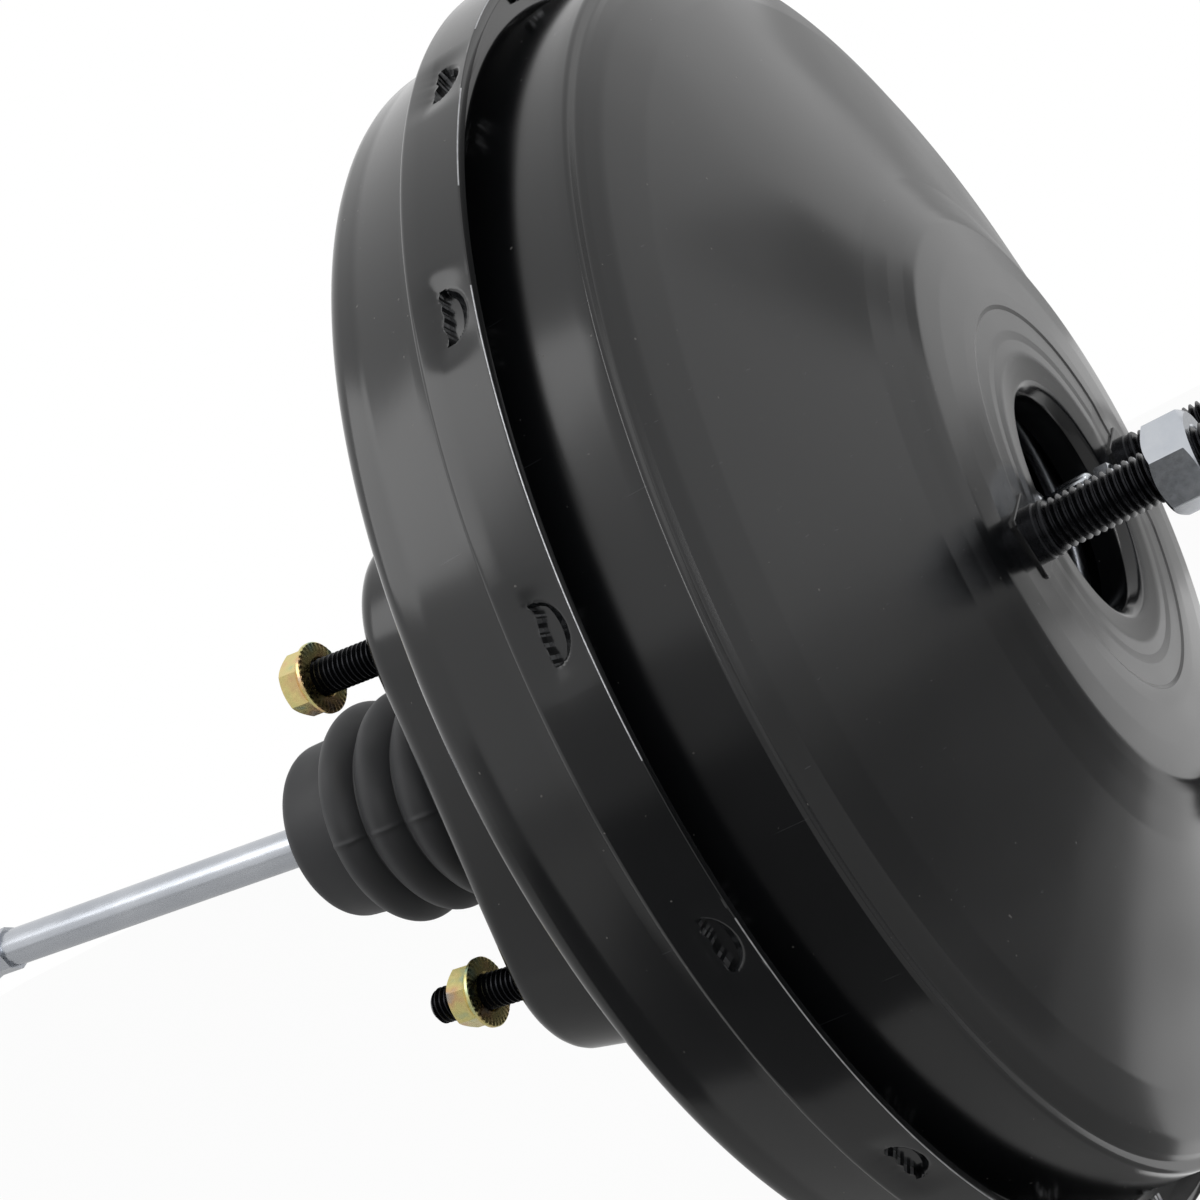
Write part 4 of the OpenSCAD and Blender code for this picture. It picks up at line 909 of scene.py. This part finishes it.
def cylinder_studs():
    """Two studs with threads that run out in cones at both ends."""
    parts = []
    for y in (NEAR_Y, FAR_Y):
        thread = threaded(3.4, FRONT_STUD_END, M10, cone0=0.5, cone1=1.2)
        parts.append(part(thread, HUB_X, y, 0, loop=False, merge=None))
        for bar in FRONT_STUD_BARS:
            parts.append(part(disc_part(*bar), HUB_X, y, 0, loop=False))
    made = joined("cylinder_stud_threads", parts, "shell", black_oxide)
    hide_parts("cylinder_studs")
    return made


def stud_collars():
    """The square collars, painted over together with the hub."""
    rings = square_collar(-0.6, 0.12, COLLAR_SIDE)
    parts = [part(rings, HUB_X, y, 0, loop=False, sharp=25)
             for y in (NEAR_Y, FAR_Y)]
    made = joined("painted_stud_collars", parts, "shell", shell_paint)
    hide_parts("cylinder_studs")
    return made


def plain_nut_rings(turn):
    """A hexagon chamfered at both ends, with a chamfered bore."""
    def outline(t):
        """Axial places and radii: bore, face, chamfers and flats."""
        reach = hexagon_reach(t, NUT_AF, turn)
        drop = max(reach - NUT_ROUND, 0) * CHAMFER
        return [(0.6, 4.85), (0, 5.4), (0, NUT_ROUND), (drop, reach), (NUT_H - drop, reach),
                (NUT_H, NUT_ROUND), (NUT_H, 5.4), (NUT_H - 0.6, 4.85)]
    return spun(outline, even(240))


def cylinder_nuts():
    """Two hexagon nuts, turned as the near one is in the photograph."""
    parts = []
    for y in (NEAR_Y, FAR_Y):
        parts.append(part(plain_nut_rings(NUT_TURN), HUB_X + NUT_OUT, y, sharp=25))
    made = joined("cylinder_hexagon_nuts", parts, "shell", bright_zinc)
    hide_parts("cylinder_nuts")
    return made


front_threads = cylinder_studs()
collars = stud_collars()
plain_nuts = cylinder_nuts()
print("cylinder studs, collars and nuts",
      [len(piece.data.polygons) for piece in (front_threads, collars, plain_nuts)])

# %% [markdown]
# ## Output rod and adjusting screw
# The output rod reaches through the hub. Its end is knurled so that it can be held while the
# small hexagon screw is turned to set the free play.

# %% Output rod and screw
ROD_FOOT_X, KNURL_COUNT, KNURL_DEEP = 70.05, 18, 0.42


def output_rod():
    """The rod from its foot on the reaction disc to its knurled and bored end."""
    x = ROD_FOOT_X
    plain = [(x, 0), (x, 11.6), (x + 0.4, 11.95), (x + 4.6, 11.95), (x + 5, 11.6), (x + 9, 5.5),
             (130.2, 5.5), (131.2, 3.4), (134.1, 3.4)]

    def outline(t):
        """The plain rod, then the knurl with its grooves, then the bore for the screw."""
        groove = KNURL_DEEP * max(0.0, math.cos(KNURL_COUNT * t)) ** 0.7
        knurl = [(134.2, 3.5), (134.9, 4.1 - groove), (140.9, 4.1 - groove),
                 (141.5, 3.75 - groove * 0.4), (141.8, 3.35)]
        return plain + knurl + [(141.8, 2.55), (120.0, 2.55), (120.0, 0)]
    made = to_mesh("output_rod_knurled", spun(outline, even(216)), loop=False, sharp=40)
    made.data.materials.append(bright_zinc)
    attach(made, "power_piston")
    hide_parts("output_rod")
    return made


# The screw's hexagon: start, end, width across flats, chamfer circle.
HEAD_X0, HEAD_X1, HEAD_AF, HEAD_ROUND = 142.8, 146.2, 7.0, 3.4


def adjusting_screw():
    """The screw: a threaded shank in the rod, a hexagon, and a threaded tip."""
    shank = part(threaded(125.8, 143.2, M5, 32, 0.4, 0), loop=False, merge=None)

    def head_outline(t):
        """Axial places and radii of the hexagon."""
        reach = hexagon_reach(t, HEAD_AF)
        drop = max(reach - HEAD_ROUND, 0) * 0.6
        return [(HEAD_X0, 0), (HEAD_X0, HEAD_ROUND), (HEAD_X0 + drop, reach), (HEAD_X1 - drop, reach),
                (HEAD_X1, HEAD_ROUND), (HEAD_X1, 0)]
    head = part(spun(head_outline, even(240)), loop=False, sharp=25)
    tip = part(threaded(146.0, 157.0, M5, 32, 0, 0.9), loop=False, merge=None)
    made = joined("adjusting_screw_threads", [shank, head, tip], "adjusting_screw",
                  bright_zinc)
    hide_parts("adjusting_screw")
    return made


rod_out = output_rod()
screw = adjusting_screw()
print("output rod and screw", len(rod_out.data.polygons), len(screw.data.polygons))

# %% [markdown]
# ## The boot
# Three round bellows show between the pad and the cup-like nose that grips the input rod. The
# boot leans like the rod.

# %% Boot
# The bellows: distance between crests, place of a valley, radius of the valleys, height, wall.
CREST_PITCH, VALLEY_S, VALLEY_R, CREST_HIGH, BOOT_WALL = 10.3, 2.75, 22.4, 4.0, 1.6
# The nose: its end, the rounding of its corner, and the centre of that rounding.
NOSE_X, NOSE_ROUND, NOSE_CORNER_R = -58, 4.4, 16.6
# The mould left a seam on the crests: its height, and its width as an angle.
SEAM_HIGH, SEAM_WIDE = 0.35, 0.022


def bellows(s, valley_r):
    """Point of the bellows at a distance s behind the pad."""
    wave = abs(math.sin(math.pi * (s - VALLEY_S) / CREST_PITCH))
    return (-s, valley_r + CREST_HIGH * wave ** 0.8)


def boot_line():
    """Outer face of the boot behind the pad: round crests, tight valleys, and the nose."""
    line = [bellows(s, VALLEY_R) for s in np.linspace(5.1, 41.6, 100)]
    line += [(-42.4, 23.8), (-42.9, 22.3), (-43.3, 21.5), (-44.0, 21.25), (-45.0, 21.35), (-50, 21.2)]
    for a in np.radians(np.linspace(0, 90, 10)):
        line.append((NOSE_X + NOSE_ROUND - NOSE_ROUND * math.sin(a),
                     NOSE_CORNER_R + NOSE_ROUND * math.cos(a)))
    line += [(NOSE_X, 9.0), (-57.6, 7.4), (-57.9, 6.0), (-57.9, 4.9), (-57.4, 4.8)]
    return np.array(line)


def boot():
    """The bellows with nose, and the ring that grips the shell's neck."""
    outer = boot_line()
    inner = [(-52, 4.8), (-52, 6.6), (-55.8, 7.2), (-55.8, 14.8), (-53.6, 19.2), (-44.0, 19.4)]
    inner += [bellows(s, VALLEY_R - BOOT_WALL) for s in np.linspace(41.2, 5.1, 90)]
    profile = np.concatenate([outer, np.array(inner)])
    crest = np.clip((profile[:, 1] - 22.0) / 4, 0, 1) * (profile[:, 0] < -4)

    def with_seam(t):
        """The boot's outline, with the mould's ridge where the two halves met."""
        ridge = SEAM_HIGH * math.exp(-((t - math.pi) / SEAM_WIDE) ** 2)
        return profile + np.stack([0 * crest, ridge * crest], axis=1)
    near_seam = math.pi + np.linspace(-0.06, 0.06, 13)
    others = even(192)
    angles = np.concatenate([others[abs(others - math.pi) > 0.07], near_seam])
    rings = spun(with_seam, np.sort(angles))
    rings[:, :, 0] -= BALL_X
    sleeve = to_mesh("part", moved(rings, 0, 0, 0, PAD_TILT) + np.array([BALL_X, 0, 0]), sharp=40)
    grip = [(-8, 21.8), (-8, 23.8), (-7.5, 24.9), (-6.4, 25.4), (-3.2, 25.4), (-2.7, 25.0),
            (-2.7, 23.05), (-3.05, 23.05), (-3.05, 21.8)]
    ring = part(spun(lambda t: grip, even(128)), sharp=40)
    made = joined("boot_bellows", [sleeve, ring], None, boot_rubber)
    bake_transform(made)
    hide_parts("boot")
    return made


boot_piece = boot()
print("boot", len(boot_piece.data.polygons), "faces")

# %% [markdown]
# ## Springs
# Each spring is a round wire wound about the axis with flat end coils. The main spring stands
# between the piston and the front shell.

# %% Springs
def wound(name, x0, x1, r0, r1, wire, turns, lean0=0.0, lean1=0.0, steps=40, sides=12):
    """A coil of round wire. The lean shifts its first end sideways along Z."""
    rise = turns - 1.6
    rings = []
    for i in range(int(turns * steps) + 1):
        u = i / steps
        s = min(max((u - 0.8) / rise, 0), 1)
        a = 2 * math.pi * u
        b = even(sides)
        rr = r0 + (r1 - r0) * s + wire / 2 * np.cos(b)
        x = x0 + (x1 - x0) * s + wire / 2 * np.sin(b)
        z = rr * math.sin(a) + lean0 + (lean1 - lean0) * s
        rings.append(np.stack([x, rr * math.cos(a), z], axis=1))
    rings = np.array(rings)
    for end in (0, -1):
        middle = rings[end].mean(axis=0)
        cap = np.repeat(middle[None, None, :], sides, axis=1)
        rings = np.concatenate([cap, rings]) if end == 0 else np.concatenate([rings, cap])
    made = to_mesh(name, rings, merge=None, sharp=60)
    made.data.materials.append(spring_wire)
    return made


# Each call gives start, end, radius at either, wire and turns, all in mm. The valve's spring is
# carried by the piston whole, and the check valve's by the shell.
main_spring = wound("main_return_spring", 66.1, 134.95, 31, 29, 3.6, 6.5)
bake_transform(main_spring)
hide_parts("return_spring")

rod_spring = wound("rod_spring", -14.84, -7.95, 7, 9.6, 1.4, 3.2, 2.81, 0.3)
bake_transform(rod_spring)
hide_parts("rod_return_spring")

poppet_spring = wound("control_spring", -5.45, 1.6, 9.4, 9.4, 1.0, 4)
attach(poppet_spring, "power_piston")
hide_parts("control_valve_spring")

port_turn = Matrix.Rotation(PORT_ANGLE, 4, "X") @ Matrix.Translation((0, PORT_R * MM, 0))
check_spring = wound("check_spring", 143.3, 151.75, 4.2, 4.2, 0.6, 4)
check_spring.data.transform(port_turn)
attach(check_spring, "shell")
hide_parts("check_valve_spring")
print("springs", [p.name for p in (main_spring, rod_spring, poppet_spring, check_spring)])

# %% [markdown]
# ## The diaphragm
# A rubber sheet lies on the piston's plate. At the edge it rolls along the shell to its bead,
# which the two shells clamp in the rim, and in the middle it grips the valve body.

# %% Diaphragm
SHEET_BACK_X, SHEET_T, BEAD_R = 56.4, 1.9, 131.2


def diaphragm():
    """Rubber sheet that lies on the plate and rolls along the shell to its bead in the rim."""
    # Corners of the sheet: axial distance from its middle, radius, bend radius.
    flat = [(0, 28, 0), (0, 45, 3), (3, 50, 3), (3, 68, 3), (7, 75, 4), (9, 90, 4), (13, 97, 4),
            (16, 110, 3), (17.2, 123, 4), (18.6, 127.4, 3), (22, BEAD_R, 3), (24.4, BEAD_R, 0)]
    line = [(SHEET_BACK_X + x, r, b) for x, r, b in flat] + [(87.6, BEAD_R, 0)]
    profile = filled(pressed(line, SHEET_T, 4), 3.0)
    sheet = part(spun(lambda t: profile, even(160)), sharp=40)
    rim = [(84.1, 131.3), (84.1, 133.0), (87.9, 133.1), (88.15, 133.6), (88.15, 136.6), (88.6, 137.0),
           (90.6, 137.0), (91.05, 136.5), (91.05, 131.6), (90.6, BEAD_R)]
    bead = part(spun(lambda t: rim, even(160)), sharp=40)
    hub = [(56.45, 22.05), (56.45, 29.0), (54.5, 29.0), (50.4, 25.2), (50.05, 24.8), (50.05, 22.05)]
    grip = part(spun(lambda t: hub, even(96)), sharp=40)
    made = joined("rolling_diaphragm", [sheet, bead, grip], None, sheet_rubber)
    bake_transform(made)
    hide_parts("diaphragm")
    return made


rolling = diaphragm()
print("diaphragm", len(rolling.data.polygons), "faces")

# %% [markdown]
# ## Finishes of the pieces that keep their CAD shape
# The turned and moulded pieces inside, and the input rod, are good as they are. Each one gets
# the finish of its own material.

# %% Finish the CAD pieces
cad_finishes = {
    "pad_backing_plate": black_oxide, "hub_backing_plate": black_oxide, "diaphragm_plate": pan_steel,
    "valve_body": filled_resin, "stop_key": stamped_zinc, "air_valve": pale_zinc,
    "control_valve": seal_rubber, "control_valve_retainer": stamped_zinc, "input_rod": drawn_rod,
    "air_filter": grey_foam, "tube_seal": seal_rubber, "tube_bearing": ivory_resin,
    "reaction_disc": seal_rubber, "spring_seat": stamped_zinc, "port_grommet": seal_rubber,
    "check_valve_base": filled_resin, "check_valve_cap": filled_resin, "check_valve_disc": seal_rubber,
}
for name, finish in cad_finishes.items():
    node = frame["nodes"][name]
    for held in [node] + list(node.children_recursive):
        if held.type == "MESH":
            held.data.materials.clear()
            held.data.materials.append(finish)
print("finished", len(cad_finishes), "CAD pieces")

# %% [markdown]
# ## Studio
# The booster was photographed as a cut-out on white. A pale floor lies just under the rim, one
# large soft box shines from above the rear, and cards on the floor and around the object, seen
# only by reflections, shape the black paint. The camera's own rays see white.

# %% Studio
def glossy_only(obj):
    """Lets only reflections see an object."""
    obj.visible_camera = False
    obj.visible_diffuse = False
    obj.visible_shadow = False
    obj.visible_transmission = False
    obj.visible_volume_scatter = False


def slab(name, corners, finish):
    """A flat card from its four corners in metres."""
    mesh = bpy.data.meshes.new(name)
    mesh.from_pydata(corners, [], [(0, 1, 2, 3)])
    made = bpy.data.objects.new(name, mesh)
    bpy.context.collection.objects.link(made)
    mesh.materials.append(finish)
    return made


def into_surface(tree, output):
    """Makes an output the surface of a material."""
    end = next(n for n in tree.nodes if n.type == "OUTPUT_MATERIAL")
    tree.links.new(output, end.inputs["Surface"])


# The floor lies just under the rim. Its paper shows this share of pure white to the camera, so
# that it blends with the background and still takes the object's shadow.
FLOOR_Z, FLOOR_HALF, FLOOR_WHITE = -0.1408, 4, 0.93
floor_paint, tree, shader, place = start("floor_paper", "#E9E8E6", 0.8)
to_camera = add(tree, "ShaderNodeLightPath").outputs["Is Camera Ray"]
pure = add(tree, "ShaderNodeEmission", {"Color": (1, 1, 1, 1), "Strength": 1.0})
mostly = add(tree, "ShaderNodeMath", {"operation": "MULTIPLY", 1: FLOOR_WHITE}, {0: to_camera})
seen = add(tree, "ShaderNodeMixShader", None,
           {0: mostly.outputs[0], 1: shader.outputs["BSDF"], 2: pure.outputs["Emission"]})
into_surface(tree, seen.outputs[0])
grain = noise(tree, place, 3, 2)
tree.links.new(mixed(tree, grain, "#E9E8E6", "#E4E3E0"), shader.inputs["Base Color"])
slab("floor", [(x * FLOOR_HALF, y * FLOOR_HALF, FLOOR_Z)
               for x, y in ((-1, -1), (1, -1), (1, 1), (-1, 1))], floor_paint)


def card_paper(name, level):
    """Paper that reflections see at a given level of light, where 1 is the white of the room."""
    made, tree, shader, place = start(name, "#808080", 0.9)
    cloudy = span(tree, noise(tree, place, 90), *MIDDLE, level * 0.85, level * 1.15)
    glow = add(tree, "ShaderNodeEmission", {"Color": (1, 1, 1, 1)}, {"Strength": cloudy})
    into_surface(tree, glow.outputs["Emission"])
    return made


# The middle of the booster along its axis, and the height of the cards above the floor.
MIDDLE_X, CARD_GAP = 0.07, 0.002


def floor_card(name, places, level):
    """A card on the floor with its corners at these places, in metres."""
    corners = [(x, y, FLOOR_Z + CARD_GAP) for x, y in places]
    glossy_only(slab(name, corners, card_paper(name + "_paper", level)))


def wall_card(name, azimuths, heights, distance, level):
    """An upright card between two azimuths, seen from the middle of the booster."""
    spots = []
    low, high = heights
    for azimuth, height in zip(azimuths + azimuths[::-1], (low, low, high, high)):
        a = math.radians(azimuth)
        spots.append((MIDDLE_X + distance * math.cos(a), distance * math.sin(a), height))
    glossy_only(slab(name, spots, card_paper(name + "_paper", level)))


# The dark side card shades the band and the rear wall, the front cards shape the dome, the
# bright one lights its lower edge, and the narrow strip draws a line along each sharp bend.
floor_card("card_side", [(0.10, -0.17), (0.31, -1.38), (-0.71, -1.16), (-0.03, -0.16)], 0.13)
wall_card("card_side_wall", (-124, -86), (FLOOR_Z, 0.23), 1.4, 0.42)
floor_card("card_front", [(0.20, -0.02), (1.0, 0.0), (1.1, 0.75), (0.72, 0.86)], 0.3)
floor_card("card_bright", [(0.10, -0.05), (0.17, 0.0), (0.68, 0.88), (0.10, 0.95)], 1.1)
wall_card("card_horizon", (38, 71), (-0.06, 0.05), 1.6, 0.38)
wall_card("card_far_wall", (79, 106), (0.06, 0.56), 1.5, 0.5)
wall_card("card_strip", (-58, -46), (0.15, 2.3), 1.2, 6.0)
wall_card("card_upper_wall", (44, 56), (0.32, 0.56), 1.5, 0.4)


def softbox(name, azimuth, elevation, distance, width, strength):
    """A square area light that looks at the booster."""
    light = bpy.data.lights.new(name, "AREA")
    light.shape, light.size = "SQUARE", width
    # The energy grows with the area, so the strength alone sets how bright the light looks.
    light.energy = strength * width * width * math.pi * math.pi / 4
    made = bpy.data.objects.new(name, light)
    bpy.context.collection.objects.link(made)
    a, e = math.radians(azimuth), math.radians(elevation)
    way = Vector((math.cos(e) * math.cos(a), math.cos(e) * math.sin(a), math.sin(e)))
    made.location = Vector((MIDDLE_X, 0, 0)) + way * distance
    made.rotation_mode = "QUATERNION"
    made.rotation_quaternion = (-way).to_track_quat("-Z", "Y")
    return made


KEY_AZIMUTH, KEY_ELEVATION, KEY_DISTANCE, KEY_WIDTH, KEY_STRENGTH = -132, 43, 0.95, 0.5, 2.6
softbox("key_softbox", KEY_AZIMUTH, KEY_ELEVATION, KEY_DISTANCE, KEY_WIDTH, KEY_STRENGTH)

# The room lights the object at a plain level. Reflections and the camera see pure white.
ROOM_LEVEL, ROOM_TINT = 0.68, (0.97, 0.98, 1.0, 1)
world = bpy.data.worlds.new("white_studio")
bpy.context.scene.world = world
world.use_nodes = True
tree = world.node_tree
tree.nodes.clear()
path = add(tree, "ShaderNodeLightPath")
sharp_rays = path.outputs["Is Camera Ray"]
for other in ("Is Glossy Ray", "Is Transmission Ray"):
    sharp_rays = add(tree, "ShaderNodeMath", {"operation": "MAXIMUM"},
                     {0: sharp_rays, 1: path.outputs[other]}).outputs[0]
room = add(tree, "ShaderNodeBackground", {"Color": ROOM_TINT, "Strength": ROOM_LEVEL})
white = add(tree, "ShaderNodeBackground", {"Color": (1, 1, 1, 1), "Strength": 1.0})
both = add(tree, "ShaderNodeMixShader", None,
           {0: sharp_rays, 1: room.outputs[0], 2: white.outputs[0]})
add(tree, "ShaderNodeOutputWorld", None, {"Surface": both.outputs[0]})
print("studio ready")

# %% [markdown]
# ## Camera
# The camera stands where the photograph was taken. Its place, lens and framing were fitted to
# the ellipses of the rim and to the places of the studs, and its distance to the size of their
# threads. The photograph is cropped off centre, hence the shift.

# %% Camera
lens = bpy.data.cameras.new("camera")
camera = bpy.data.objects.new("camera", lens)
bpy.context.collection.objects.link(camera)
camera.matrix_world = Matrix(((0.82013, 0.36994, 0.43650, 0.26214),
                              (0.33488, 0.30824, -0.89042, -0.44345),
                              (-0.46395, 0.87643, 0.12891, 0.02585),
                              (0, 0, 0, 1)))
lens.sensor_fit = "HORIZONTAL"
lens.sensor_width = 36.0
lens.lens = 68.668
lens.shift_x = -0.15247
lens.shift_y = 0.20233
lens.clip_start = 0.01
lens.clip_end = 20
bpy.context.scene.camera = camera
bpy.context.scene.view_settings.view_transform = "Standard"
print("camera at", [round(v, 3) for v in camera.matrix_world.translation])
